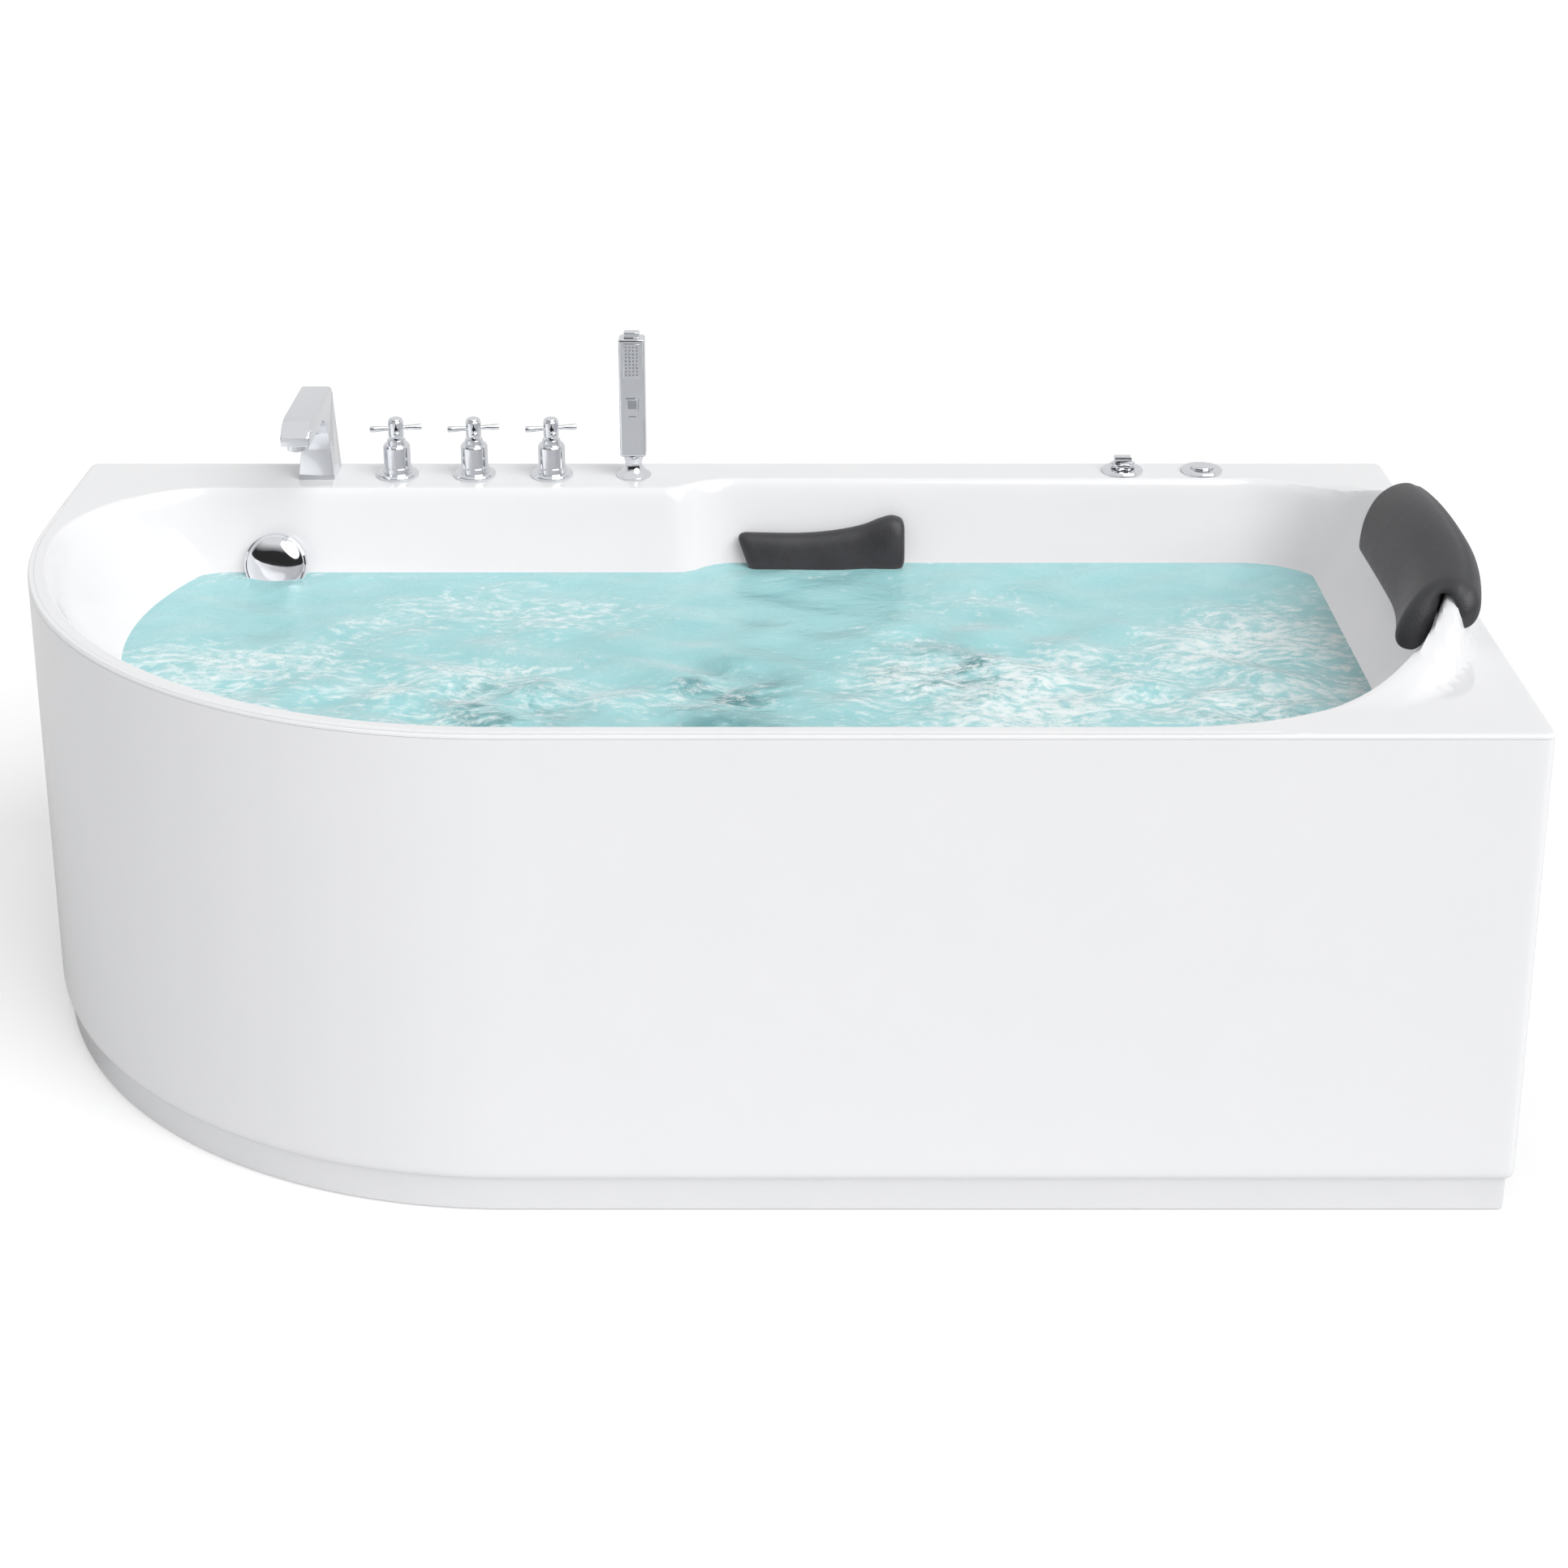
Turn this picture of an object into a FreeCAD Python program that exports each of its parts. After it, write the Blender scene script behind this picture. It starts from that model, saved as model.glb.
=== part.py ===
import FreeCAD
import Part
import math
import os

os.makedirs("parts", exist_ok=True)
V = FreeCAD.Vector
X, Y, Z = V(1, 0, 0), V(0, 1, 0), V(0, 0, 1)

# Jetted bathtub for a corner of a room: one wall stands behind it (+Y), one at its right end (+X).
# X runs along the bath, Y from the front panel to the wall behind, Z up. The origin is on the
# floor under the middle of the bath. All sizes are millimetres.

# ---- driving dimensions: shell -----------------------------------------------------------------
length = 1800.0
width = 900.0
deck_height = 600.0
end_radius = 650.0          # plan radius of the rounded front left end
corner_radius = 12.0        # the other three plan corners
shell_wall = 5.0            # acrylic and its glass fibre backing
edge_round = 4.0            # rounding of the deck's outer top edge
rim_width = 27.0            # deck between the basin and the front edge
end_deck = 60.0             # deck between the basin and the right end
tap_deck = 107.0            # depth of the deck that carries the taps
rear_deck = 71.0            # depth of the narrower deck to the right of the taps
tap_deck_length = 858.0     # from the left end to where the tap deck steps back to the narrow one
step_out, step_in = 92.0, 15.0    # plan radii of that step's two bends at the brim
basin_clear = 170.0         # the basin's floor over the room's floor: trap, pump and frame
waist_depth = 120.0         # below it the walls get steeper
waist_in, foot_in = 34.0, 80.0    # how far the walls have come in at the waist and at the foot
foot_slope = 45.0           # the foot end's slope from level
foot_start = 10.0           # how far outside the brim that slope starts
foot_y = 100.0              # middle of its rounded form
slope_radius = 600.0
back_slope = 63.0           # the backrest's slope from level
back_start = 1.0
brim_corner = 180.0         # plan radii of the brim: rear left, front right and rear right
front_corner = 350.0
rear_corner = 150.0
bay_corner = 150.0
bowl_height = 65.0          # rounding between walls and floor
lip_inset = 7.0             # turned-down lip, measured in from the deck's edge
lip_depth = 35.0
fit_gap = 0.3               # gap between pieces that meet but don't touch

# ---- driving dimensions: headrest hump, headrest and grip --------------------------------------
hump_height = 74.0
hump_spread = 48.0          # how far the hump's foot stands out from the brim
hump_draft = 20.0           # how much narrower it is at the top
hump_y = -12.0              # the middle of the hump
hump_end_gap = 110.0        # from its ends to the front and rear edges
hump_length = 150.0         # from the brim's right end back into the basin
flare = 20.0                # how much wider the basin gets over the hump's height
pad_thickness = 22.0        # over the hump's crest
pad_to_front, pad_to_rear = 193.0, 170.0    # from the hump's middle to the pad's ends
pad_end_round = 30.0
notch_radius = 13.0
notch_rise = 36.0           # over the deck
grip_gap, grip_length = 42.0, 235.0     # the gap is from the deck's step
grip_bend = 330.0           # radius of the grip's bend
grip_tilt = 3.0
grip_wide = 60.0
grip_thickness = 29.0
grip_pegs = (50.0, 170.0)   # from the grip's left end
grip_drop = 93.0            # from the deck down to the grip's pegs
pad_pegs = (-98.0, 82.0)    # from the hump's middle
peg_r, peg_length = 4.0, 14.0

# ---- driving dimensions: front panel -----------------------------------------------------------
panel_wall = 4.0
toe_height = 45.0           # toe recess at the foot of the panel
toe_depth = 9.0
panel_floor_gap = 2.0
panel_flange = 26.0
panel_return = 26.0         # the panel's short return at the right end
panel_rear_gap = 14.0       # between the panel's rear end and the wall behind
panel_round = 4.0           # bevel at the panel's lower edge

# ---- driving dimensions: frame and feet --------------------------------------------------------
rail_size = 30.0
rail_wall = 2.0
post_size = 25.0
rail_side_gap = 260.0       # from the long rails to the front and rear edges
rail_end_gaps = (180.0, 32.0)     # from the bath's ends
cross_end_gaps = (200.0, 50.0)    # from the bath's ends to the outer cross tubes
cross_side_gap = 18.0
first_cross_gap = 24.0      # the left cross tube stops inside the rounded corner
board_thickness = 15.0
board_end_gaps, board_side_gaps = (450.0, 300.0), (180.0, 225.0)
post_gap = 32.5             # from the edges to the middle of the posts
foot_gap = 70.0             # from the edges to the middle of the feet
first_foot_in = 80.0        # from the left cross tube's front end
foot_pad_r, foot_pad_h = 25.0, 12.0
stud_r = 6.0
stud_in_tube = 18.0
nut_across, nut_height = 19.0, 10.0
bracket_wide, bracket_thick = 24.0, 3.0
bracket_tall, bracket_leg = 60.0, 45.0
running_gap = 0.05          # radial clearance of what turns or slides in a bore

# ---- driving dimensions: taps ------------------------------------------------------------------
tap_line_gap = 51.0         # from the wall behind to the line of the taps
control_line_gap = 35.0
spout_from_end = 325.0
valve_pitch = 106.5
spout_to_valve = 109.0
spout_to_holder = 435.0
tap_hole_r = 13.0
tail_r, tail_length = 12.5, 80.0
inlet_r, inlet_length = 10.5, 25.0
supply_drop = 52.0          # from the deck down to the mixing tube
supply_r = 8.0
valve_flange_r, valve_flange_h = 29.0, 6.0
valve_body_r, valve_body_h = 18.5, 46.0
valve_neck_r, valve_top = 12.5, 53.0
cartridge_r = 9.5
spindle_r = 4.0
handle_hub_r = 10.5
handle_base, handle_top = 56.0, 83.0
arm_r, arm_span, arm_z, arm_turn = 3.5, 71.0, 68.0, 10.0
deck_nut_r, deck_nut_h = 20.0, 8.0
spout_base_w, spout_w = 50.0, 38.0
spout_top, spout_reach = 125.0, 159.0    # above the deck; forward of the tap line
aerator_r, aerator_h = 14.2, 10.0
holder_base_r, holder_waist_r, holder_top_r, holder_h = 24.0, 11.0, 13.0, 30.0
handset_w, handset_d, handset_h = 35.5, 28.0, 176.0
handset_tail_r, handset_tail = 8.0, 24.0
handset_button, handset_travel = 17.0, 2.0
handset_button_z = 76.0     # from the handset's foot to the button's middle
hose_r = 6.5
hose_drop = 330.0

# ---- driving dimensions: deck controls ---------------------------------------------------------
air_from_end, button_from_end = 364.0, 254.0
control_hole_r = 20.0
control_disc_r, control_disc_h = 28.5, 5.0
control_body_r, control_body_h = 19.5, 45.0
air_knob_r, air_knob_h = 17.0, 8.0
air_grip_h = 9.0
button_r, button_proud, button_travel = 15.0, 3.5, 3.0

# ---- driving dimensions: jets, suction, overflow and drain -------------------------------------
jet_from_step = (-178.0, 102.0, 332.0)
jet_rise = 160.0            # over the basin's floor
jet_hole_r = 20.0
jet_flange_r, jet_flange_h = 32.0, 5.0
jet_bore_r = 14.0
jet_block, jet_depth = 22.0, 54.0
jet_nut_r, jet_nut_h = 28.0, 7.0
nozzle_r, nozzle_hole_r = 10.0, 4.5
water_depth = 38.0          # behind the basin's face to the middle of the water pipe
water_r = 12.0
air_rise, air_r = 32.0, 6.0
jet_to_suction, suction_rise = 110.0, 111.0
suction_hole_r = 23.0
suction_cover_r, suction_cover_h = 44.0, 10.0
suction_depth, suction_r = 58.0, 20.0
spout_to_overflow, overflow_drop = -47.0, 98.0
overflow_hole_r = 16.0
knob_r, knob_rise, knob_gap = 42.5, 30.0, 8.0
overflow_body_r, overflow_depth = 21.0, 34.0
overflow_pipe_r = 12.0
drain_from_end, drain_y = 505.0, -20.0
drain_hole_r = 24.0
drain_flange_r, drain_flange_h = 35.0, 3.0
drain_bore_r = 17.0
drain_body_r, drain_low = 27.0, 70.0
plug_r, plug_lift = 31.0, 12.0
drain_side_rise, drain_side_reach = 22.0, 50.0
cable_r, cable_rise = 2.5, 43.0
trap_r, trap_low, trap_bend = 20.0, 33.0, 21.2
trap_rise, waste_end = 43.0, 10.0
spigot_length = 50.0        # round end for the building's waste pipe

# ---- driving dimensions: pump ------------------------------------------------------------------
pump_from_end, pump_rise = 110.0, 71.0    # from the right end; over the plate
motor_r, motor_start, motor_end = 60.0, -90.0, 110.0
volute_r, volute_start = 62.0, -170.0
chamber_r, chamber_wall = 50.0, 8.0
shaft_r = 8.0
impeller_r, fan_r = 44.0, 50.0
fan_cover_end = 150.0
pump_to_loop = 45.0         # the water and air lines pass the right end this far from the pump
plate_half, plate_thickness = 90.0, 4.0
pump_foot = 24.0

# ---- levels and lines that follow --------------------------------------------------------------
back = width / 2
right = length / 2
basin_depth = deck_height - basin_clear
floor_z = basin_clear
board_z = floor_z - shell_wall - board_thickness
rail_z = board_z - rail_size
cross_z = rail_z - rail_size
step_x = -right + tap_deck_length
hump_half = back - hump_end_gap
pad_front, pad_rear = hump_y - pad_to_front, hump_y + pad_to_rear
pad_peg_y = [hump_y + p for p in pad_pegs]
notch_z = deck_height + notch_rise
grip_start = step_x + grip_gap
grip_peg_x = [grip_start + p for p in grip_pegs]
grip_peg_z = deck_height - grip_drop
rail_y = back - rail_side_gap
rail_start, rail_end = -right + rail_end_gaps[0], right - rail_end_gaps[1]
cross_ends = (-right + cross_end_gaps[0], right - cross_end_gaps[1])
cross_x = (cross_ends[0], sum(cross_ends) / 2, cross_ends[1])
cross_reach = back - cross_side_gap
corner_reach = math.sqrt(end_radius ** 2 - (end_radius - cross_end_gaps[0]) ** 2)
first_cross_start = -back + end_radius - corner_reach + first_cross_gap
first_foot_y = first_cross_start + first_foot_in
board_ends = (-right + board_end_gaps[0], right - board_end_gaps[1])
board_sides = (-back + board_side_gaps[0], back - board_side_gaps[1])
post_line = back - post_gap
foot_line = back - foot_gap
tap_line = back - tap_line_gap
control_line = back - control_line_gap
spout_x = -right + spout_from_end
valve_x = [spout_x + spout_to_valve + valve_pitch * i for i in range(3)]
holder_x = spout_x + spout_to_holder
supply_z = deck_height - supply_drop
air_x, button_x = right - air_from_end, right - button_from_end
jet_x = [step_x + p for p in jet_from_step]
jet_z = floor_z + jet_rise
suction_x, suction_z = jet_x[-1] + jet_to_suction, floor_z + suction_rise
overflow_x, overflow_z = spout_x + spout_to_overflow, deck_height - overflow_drop
drain_x = -right + drain_from_end
drain_side_z, cable_z = drain_low + drain_side_rise, drain_low + cable_rise
pump_x, pump_z = right - pump_from_end, board_z + plate_thickness + pump_rise
loop_x = pump_x - pump_to_loop
plate_x = (pump_x - plate_half, pump_x + plate_half)
terminal_y = (motor_start + motor_end) / 2 + 30


# ---- small helpers -----------------------------------------------------------------------------
def cyl(r, h, at, along=Z):
    return Part.makeCylinder(r, h, at, along)


def prism(r, h, at, along=Z, sides=8):
    """Hidden round stock drawn with flats; its corners lie on the radius."""
    turn = 2 * math.pi / sides
    pts = [V(r * math.cos(turn * i), r * math.sin(turn * i), 0) for i in range(sides)]
    bar = Part.Face(Part.makePolygon(pts + pts[:1])).extrude(V(0, 0, h))
    bar.Placement = FreeCAD.Placement(at, FreeCAD.Rotation(Z, along))
    return bar


def bore(r, h, at, along=Z):
    """A hole with eight flats that clears a round bar of this radius."""
    return prism(r / math.cos(math.pi / 8), h, at, along)


def ring(r_out, r_in, h, at, along=Z):
    """A tube; its bore is cut right through."""
    return cyl(r_out, h, at, along).cut(bore(r_in, h, at, along))


def lathe(profile, at, along=Z, sides=16):
    """A turned form drawn with flats, from (radius, height) points that start and end on its axis."""
    turn = 2 * math.pi / sides
    loops = [[V(r * math.cos(turn * i), r * math.sin(turn * i), h) for i in range(sides)]
             for r, h in profile[1:-1]]
    faces = [Part.Face(Part.makePolygon(loop + loop[:1])) for loop in (loops[0], loops[-1])]
    for low, high in zip(loops, loops[1:]):
        for i in range(sides):
            j = (i + 1) % sides
            faces.append(Part.Face(Part.makePolygon([low[i], low[j], high[j], high[i], low[i]])))
    solid = Part.Solid(Part.Shell(faces))
    if solid.Volume < 0:
        solid.reverse()
    solid.Placement = FreeCAD.Placement(at, FreeCAD.Rotation(Z, along))
    return solid


def box(x0, x1, y0, y1, z0, z1):
    return Part.makeBox(x1 - x0, y1 - y0, z1 - z0, V(x0, y0, z0))


def turned(profile, at, along=Z):
    """A solid of revolution from (radius, height) points, standing at a point along an axis."""
    pts = [V(r, 0, h) for r, h in profile]
    solid = Part.Face(Part.makePolygon(pts + pts[:1])).revolve(V(0, 0, 0), Z, 360)
    solid.Placement = FreeCAD.Placement(at, FreeCAD.Rotation(Z, along))
    return solid


def hexagon(across, h, at, along=Z):
    return prism(across / math.sqrt(3), h, at, along, 6)


def fused(shapes):
    out = shapes[0]
    for s in shapes[1:]:
        out = out.fuse(s)
    return out.removeSplitter()


def group(shapes):
    return Part.makeCompound([s for shape in shapes for s in shape.Solids])


def route(points, bend):
    """Straight runs through the points, joined by tangent arcs of one bend radius."""
    edges = []
    start = points[0]
    for before, corner, after in zip(points, points[1:], points[2:]):
        a = (before - corner).normalize()
        b = (after - corner).normalize()
        half = math.acos(max(-1.0, min(1.0, a.dot(b)))) / 2
        reach = bend / math.tan(half)
        p, q = corner + a * reach, corner + b * reach
        axis = (a + b).normalize()
        mid = corner + axis * (bend / math.sin(half) - bend)
        if (p - start).Length > 0.01:
            edges.append(Part.LineSegment(start, p).toShape())
        edges.append(Part.Arc(p, mid, q).toShape())
        start = q
    edges.append(Part.LineSegment(start, points[-1]).toShape())
    return Part.Wire(edges)


def pipe(points, r, bend):
    """A pipe or hose along straight runs and tangent arcs, drawn with eight flats."""
    path = route(points, bend)
    start = (points[1] - points[0]).normalize()
    pts = [V(r * math.cos(math.pi / 4 * i), r * math.sin(math.pi / 4 * i), 0) for i in range(8)]
    mouth = Part.Face(Part.makePolygon(pts + pts[:1]))
    mouth.Placement = FreeCAD.Placement(points[0], FreeCAD.Rotation(Z, start))
    return path.makePipe(mouth).Solids[0]


def elbows(points, r, bend):
    """A rigid pipe with eight flats whose bends are three straight facets each."""
    line = [points[0]]
    for before, corner, after in zip(points, points[1:], points[2:]):
        a = (before - corner).normalize()
        b = (after - corner).normalize()
        half = math.acos(max(-1.0, min(1.0, a.dot(b)))) / 2
        middle = corner + (a + b).normalize() * (bend / math.sin(half))
        first = corner + a * (bend / math.tan(half)) - middle
        last = corner + b * (bend / math.tan(half)) - middle
        sweep = math.pi - 2 * half
        for share in (0, 1 / 3, 2 / 3, 1):
            mix = first * (math.sin((1 - share) * sweep)) + last * math.sin(share * sweep)
            line.append(middle + mix * (1 / math.sin(sweep)))
    line.append(points[-1])
    spin = FreeCAD.Rotation(Z, line[1] - line[0])
    rim = [line[0] + spin.multVec(V(r * math.cos(math.pi / 4 * i), r * math.sin(math.pi / 4 * i), 0))
           for i in range(8)]
    rims = [rim]
    for before, here, after in zip(line, line[1:], line[2:] + [None]):
        along = (here - before).normalize()
        plane = along if after is None else along + (after - here).normalize()
        rim = [p + along * ((here - p).dot(plane) / along.dot(plane)) for p in rim]
        rims.append(rim)
    faces = [Part.Face(Part.makePolygon(rim + rim[:1])) for rim in (rims[0], rims[-1])]
    for low, high in zip(rims, rims[1:]):
        for i in range(8):
            j = (i + 1) % 8
            faces.append(Part.Face(Part.makePolygon([low[i], low[j], high[j], high[i], low[i]])))
    solid = Part.Solid(Part.Shell(faces))
    if solid.Volume < 0:
        solid.reverse()
    return solid


def arc(centre, r, a0, a1, z):
    """An arc edge about (x, y), from angle a0 to a1 in degrees, at height z."""
    pts = []
    for a in (a0, (a0 + a1) / 2, a1):
        t = math.radians(a)
        pts.append(V(centre[0] + r * math.cos(t), centre[1] + r * math.sin(t), z))
    return Part.Arc(*pts).toShape(), pts[0], pts[2]


def closed(arcs):
    """Joins arcs that follow each other with straight runs."""
    edges = []
    for this, after in zip(arcs, arcs[1:] + arcs[:1]):
        edges.append(this[0])
        if (after[1] - this[2]).Length > 0.001:
            edges.append(Part.LineSegment(this[2], after[1]).toShape())
    return Part.Wire(edges)


# ---- plan outlines -----------------------------------------------------------------------------
def deck_wire(inset, z):
    """The bath's plan outline, moved in by a distance."""
    small = max(corner_radius - inset, 1.0)
    hold = small + inset
    end = end_radius - inset
    return closed([
        arc((-right + end_radius, -back + end_radius), end, 180, 270, z),
        arc((right - hold, -back + hold), small, 270, 360, z),
        arc((right - hold, back - hold), small, 0, 90, z),
        arc((-right + hold, back - hold), small, 90, 180, z),
    ])


def deck_slab(inset, z0, z1):
    return Part.Face(deck_wire(inset, z0)).extrude(V(0, 0, z1 - z0))


deck_step = tap_deck - rear_deck
wall_end = basin_depth - bowl_height
# the basin's walls: (depth, how far in from the brim)
WALL = [(0.0, 0.0), (waist_depth, waist_in), (wall_end, foot_in),
        (basin_depth, foot_in + bowl_height * 0.7)]
brim_front, brim_rear = -back + rim_width, back - rear_deck
brim_left, brim_right = -right + rim_width, right - end_deck
hump_start = brim_right - hump_length
brim_end = end_radius - rim_width
rear_left = brim_rear - deck_step


def basin_wire(inset, z):
    """Outline of the basin without its narrow-deck side. The corners keep their centres."""
    left_c = (brim_left + brim_corner, rear_left - brim_corner)
    end_y = brim_front + brim_end
    across = brim_end - brim_corner
    end_c = (left_c[0] + math.sqrt(across ** 2 - (end_y - left_c[1]) ** 2), end_y)
    meet = math.degrees(math.atan2(left_c[1] - end_c[1], left_c[0] - end_c[0])) % 360
    front_c = (brim_right - front_corner, brim_front + front_corner)
    rear_c = (brim_right - rear_corner, rear_left - rear_corner)
    return closed([
        arc(front_c, front_corner - inset, 270, 360, z),
        arc(rear_c, rear_corner - inset, 0, 90, z),
        arc(left_c, brim_corner - inset, 90, meet, z),
        arc(end_c, brim_end - inset, meet, 270, z),
    ])


def bay_wire(inset, z):
    """Outline of the basin's bay behind which the deck is narrower. Its left end is an S-bend."""
    reach = step_out + step_in
    half = math.sqrt(reach ** 2 - (reach - deck_step) ** 2) / 2
    out_c = (step_x + half, brim_rear - step_out)
    in_c = (step_x - half, rear_left + step_in)
    lean = math.degrees(math.atan2(in_c[1] - out_c[1], in_c[0] - out_c[0]))
    rear_c = (brim_right - bay_corner, brim_rear - bay_corner)
    low = rear_left - brim_corner
    right_end, left_start = brim_right - inset, in_c[0]
    corner = arc(rear_c, bay_corner - inset, 0, 90, z)
    outer = arc(out_c, step_out - inset, 90, lean, z)
    inner = arc(in_c, step_in + inset, lean - 180, -90, z)
    edges = [corner[0], Part.LineSegment(corner[2], outer[1]).toShape(), outer[0], inner[0]]
    stops = [inner[2], V(left_start, low, z), V(right_end, low, z), corner[1]]
    edges += [Part.LineSegment(p, q).toShape() for p, q in zip(stops, stops[1:])]
    return Part.Wire(edges)


def basin(grow=0.0):
    """The space inside the basin; grown by a wall it is the outside of the basin.

    The side walls are cones and planes. A leaning cylinder shapes the sloped foot end, and a
    leaning plane shapes the backrest at the head end.
    """
    lower = [(inset - grow, deck_height - depth) for depth, inset in WALL]
    lower[-1] = (lower[-1][0], floor_z - grow)
    space = Part.makeLoft([basin_wire(inset, z) for inset, z in lower], True, True)
    bay = [(inset - grow, deck_height - depth) for depth, inset in WALL[:3]]
    if grow > 0:
        bay.append((bay[-1][0], bay[-1][1] - grow))
    space = space.fuse(Part.makeLoft([bay_wire(inset, z) for inset, z in bay], True, True))
    t = math.radians(foot_slope)
    lean = V(math.cos(t), 0, -math.sin(t))
    rise = V(math.sin(t), 0, math.cos(t))
    start = brim_left - foot_start - grow / math.sin(t)
    axis = V(start + slope_radius / math.sin(t), foot_y, deck_height)
    rounded = cyl(slope_radius, 4 * width, axis - lean * 2 * width, lean)
    corners = [axis + lean * u * 2 * width + rise * v * 4 * width - Y * slope_radius
               for u, v in ((-1, 0), (1, 0), (1, 1), (-1, 1), (-1, 0))]
    beyond = Part.Face(Part.makePolygon(corners)).extrude(Y * 2 * slope_radius)
    t = math.radians(back_slope)
    hinge = V(brim_right + back_start + grow / math.sin(t), 0, deck_height)
    down = V(-math.cos(t), 0, -math.sin(t))
    high, low = hinge - down * width, hinge + down * width
    corners = [p - Y * width for p in (high, low, low + X * width, high + X * width, high)]
    behind = Part.Face(Part.makePolygon(corners)).extrude(Y * 2 * width)
    return space.common(rounded.fuse(beyond)).cut(behind).removeSplitter()


def brim_x(y):
    """Where the basin's brim is at its right end, for a place along Y."""
    for side, r, edge in ((1, bay_corner, brim_rear), (-1, front_corner, brim_front)):
        off = side * (y - edge) + r
        if off > 0:
            return brim_right - r + math.sqrt(max(r * r - off * off, 0))
    return brim_right


def wall_point(z, side):
    """(y, direction) of a long wall's inner face at a height; the direction leads out of the bath."""
    depth = deck_height - z
    above, below = [pair for pair in zip(WALL, WALL[1:]) if pair[0][0] <= depth][-1]
    share = (depth - above[0]) / (below[0] - above[0])
    inset = above[1] + share * (below[1] - above[1])
    lean = math.atan2(below[1] - above[1], below[0] - above[0])
    edge = {"front": brim_front, "rear": brim_rear, "tap": brim_rear - deck_step}[side]
    out = -1 if side == "front" else 1
    return edge - out * inset, V(0, out * math.cos(lean), -math.sin(lean))


# ---- shell: deck, lip, basin and headrest hump -------------------------------------------------
def above_brim(grow=0.0):
    """The basin's space carried on upwards, which cuts the hump's inner face."""
    levels = [(-grow, deck_height), (-grow - flare, deck_height + hump_height + 2 * shell_wall)]
    main = Part.makeLoft([basin_wire(inset, z) for inset, z in levels], True, True)
    return main.fuse(Part.makeLoft([bay_wire(inset, z) for inset, z in levels], True, True))


def hump_wire(inset, z):
    """Outline of the hump: the brim's right end, moved out."""
    front_c = (brim_right - front_corner, brim_front + front_corner)
    rear_c = (brim_right - bay_corner, brim_rear - bay_corner)
    left = hump_start - 4 * hump_spread
    front = arc(front_c, front_corner - inset, 270, 360, z)
    rear = arc(rear_c, bay_corner - inset, 0, 90, z)
    stops = [rear[2], V(left, rear[2].y, z), V(left, front[1].y, z), front[1]]
    edges = [front[0], Part.LineSegment(front[2], rear[1]).toShape(), rear[0]]
    edges += [Part.LineSegment(p, q).toShape() for p, q in zip(stops, stops[1:])]
    return Part.Wire(edges)


def hump(grow=0.0, sink=0.0):
    """The raised back for the head: its crest is an arc along the bath's width."""
    base = deck_height - shell_wall - sink
    top = deck_height + hump_height + shell_wall
    levels = [(-hump_spread - grow, base), (-hump_spread - grow + hump_draft, top + abs(grow))]
    block = Part.makeLoft([hump_wire(inset, z) for inset, z in levels], True, True)
    crown_r = (hump_half ** 2 + hump_height ** 2) / (2 * hump_height)
    crown_z = deck_height + hump_height - crown_r
    return block.common(cyl(crown_r + grow, length, V(hump_start - grow, hump_y, crown_z), X))


def make_shell():
    deck = deck_slab(0, deck_height - shell_wall, deck_height)
    rim = [e for e in deck.Edges if min(v.Z for v in e.Vertexes) > deck_height - 0.01]
    deck = deck.makeChamfer(edge_round, rim)
    lip = deck_slab(lip_inset, deck_height - lip_depth, deck_height - shell_wall)
    lip = lip.cut(deck_slab(lip_inset + shell_wall, deck_height - lip_depth, deck_height))
    space = basin()
    hollow = hump(-shell_wall, 1.0).cut(above_brim(shell_wall)).cut(basin(shell_wall))
    body = deck.fuse(lip).fuse(basin(shell_wall)).cut(space)
    body = body.fuse(hump().cut(above_brim())).cut(space).cut(hollow)
    holes = [deck_hole(tap_hole_r, x, tap_line) for x in valve_x + [spout_x, holder_x]]
    holes += [deck_hole(control_hole_r, x, control_line) for x in (air_x, button_x)]
    holes += [deck_hole(peg_r + fit_gap, hump_crest_x, y) for y in pad_peg_y]
    for side, x in JETS:
        holes.append(through_wall(jet_hole_r, x, jet_z, side))
    for x in grip_peg_x:
        holes.append(through_wall(peg_r + fit_gap, x, grip_peg_z, "rear"))
    holes.append(through_wall(suction_hole_r, suction_x, suction_z, "front"))
    holes.append(through_wall(overflow_hole_r, overflow_x, overflow_z, "tap"))
    holes.append(prism(drain_hole_r, 60, V(drain_x, drain_y, floor_z - 30), sides=12))
    return body.cut(holes)


JETS = [("front", x) for x in jet_x] + [("tap" if x < step_x else "rear", x) for x in jet_x]
hump_crest_x = brim_right + flare * 0.9 + (hump_spread - hump_draft - flare * 0.9) * 0.5


def deck_hole(r, x, y):
    return bore(r, hump_height + shell_wall + 20, V(x, y, deck_height - shell_wall - 10))


def through_wall(r, x, z, side):
    y, out = wall_point(z, side)
    return prism(r / math.cos(math.pi / 12), 80, V(x, y, z) - out * 40, out, 12)


def wall_thickness(z, side):
    """The basin's wall measured square to its face."""
    return shell_wall * abs(wall_point(z, side)[1].y)


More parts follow.
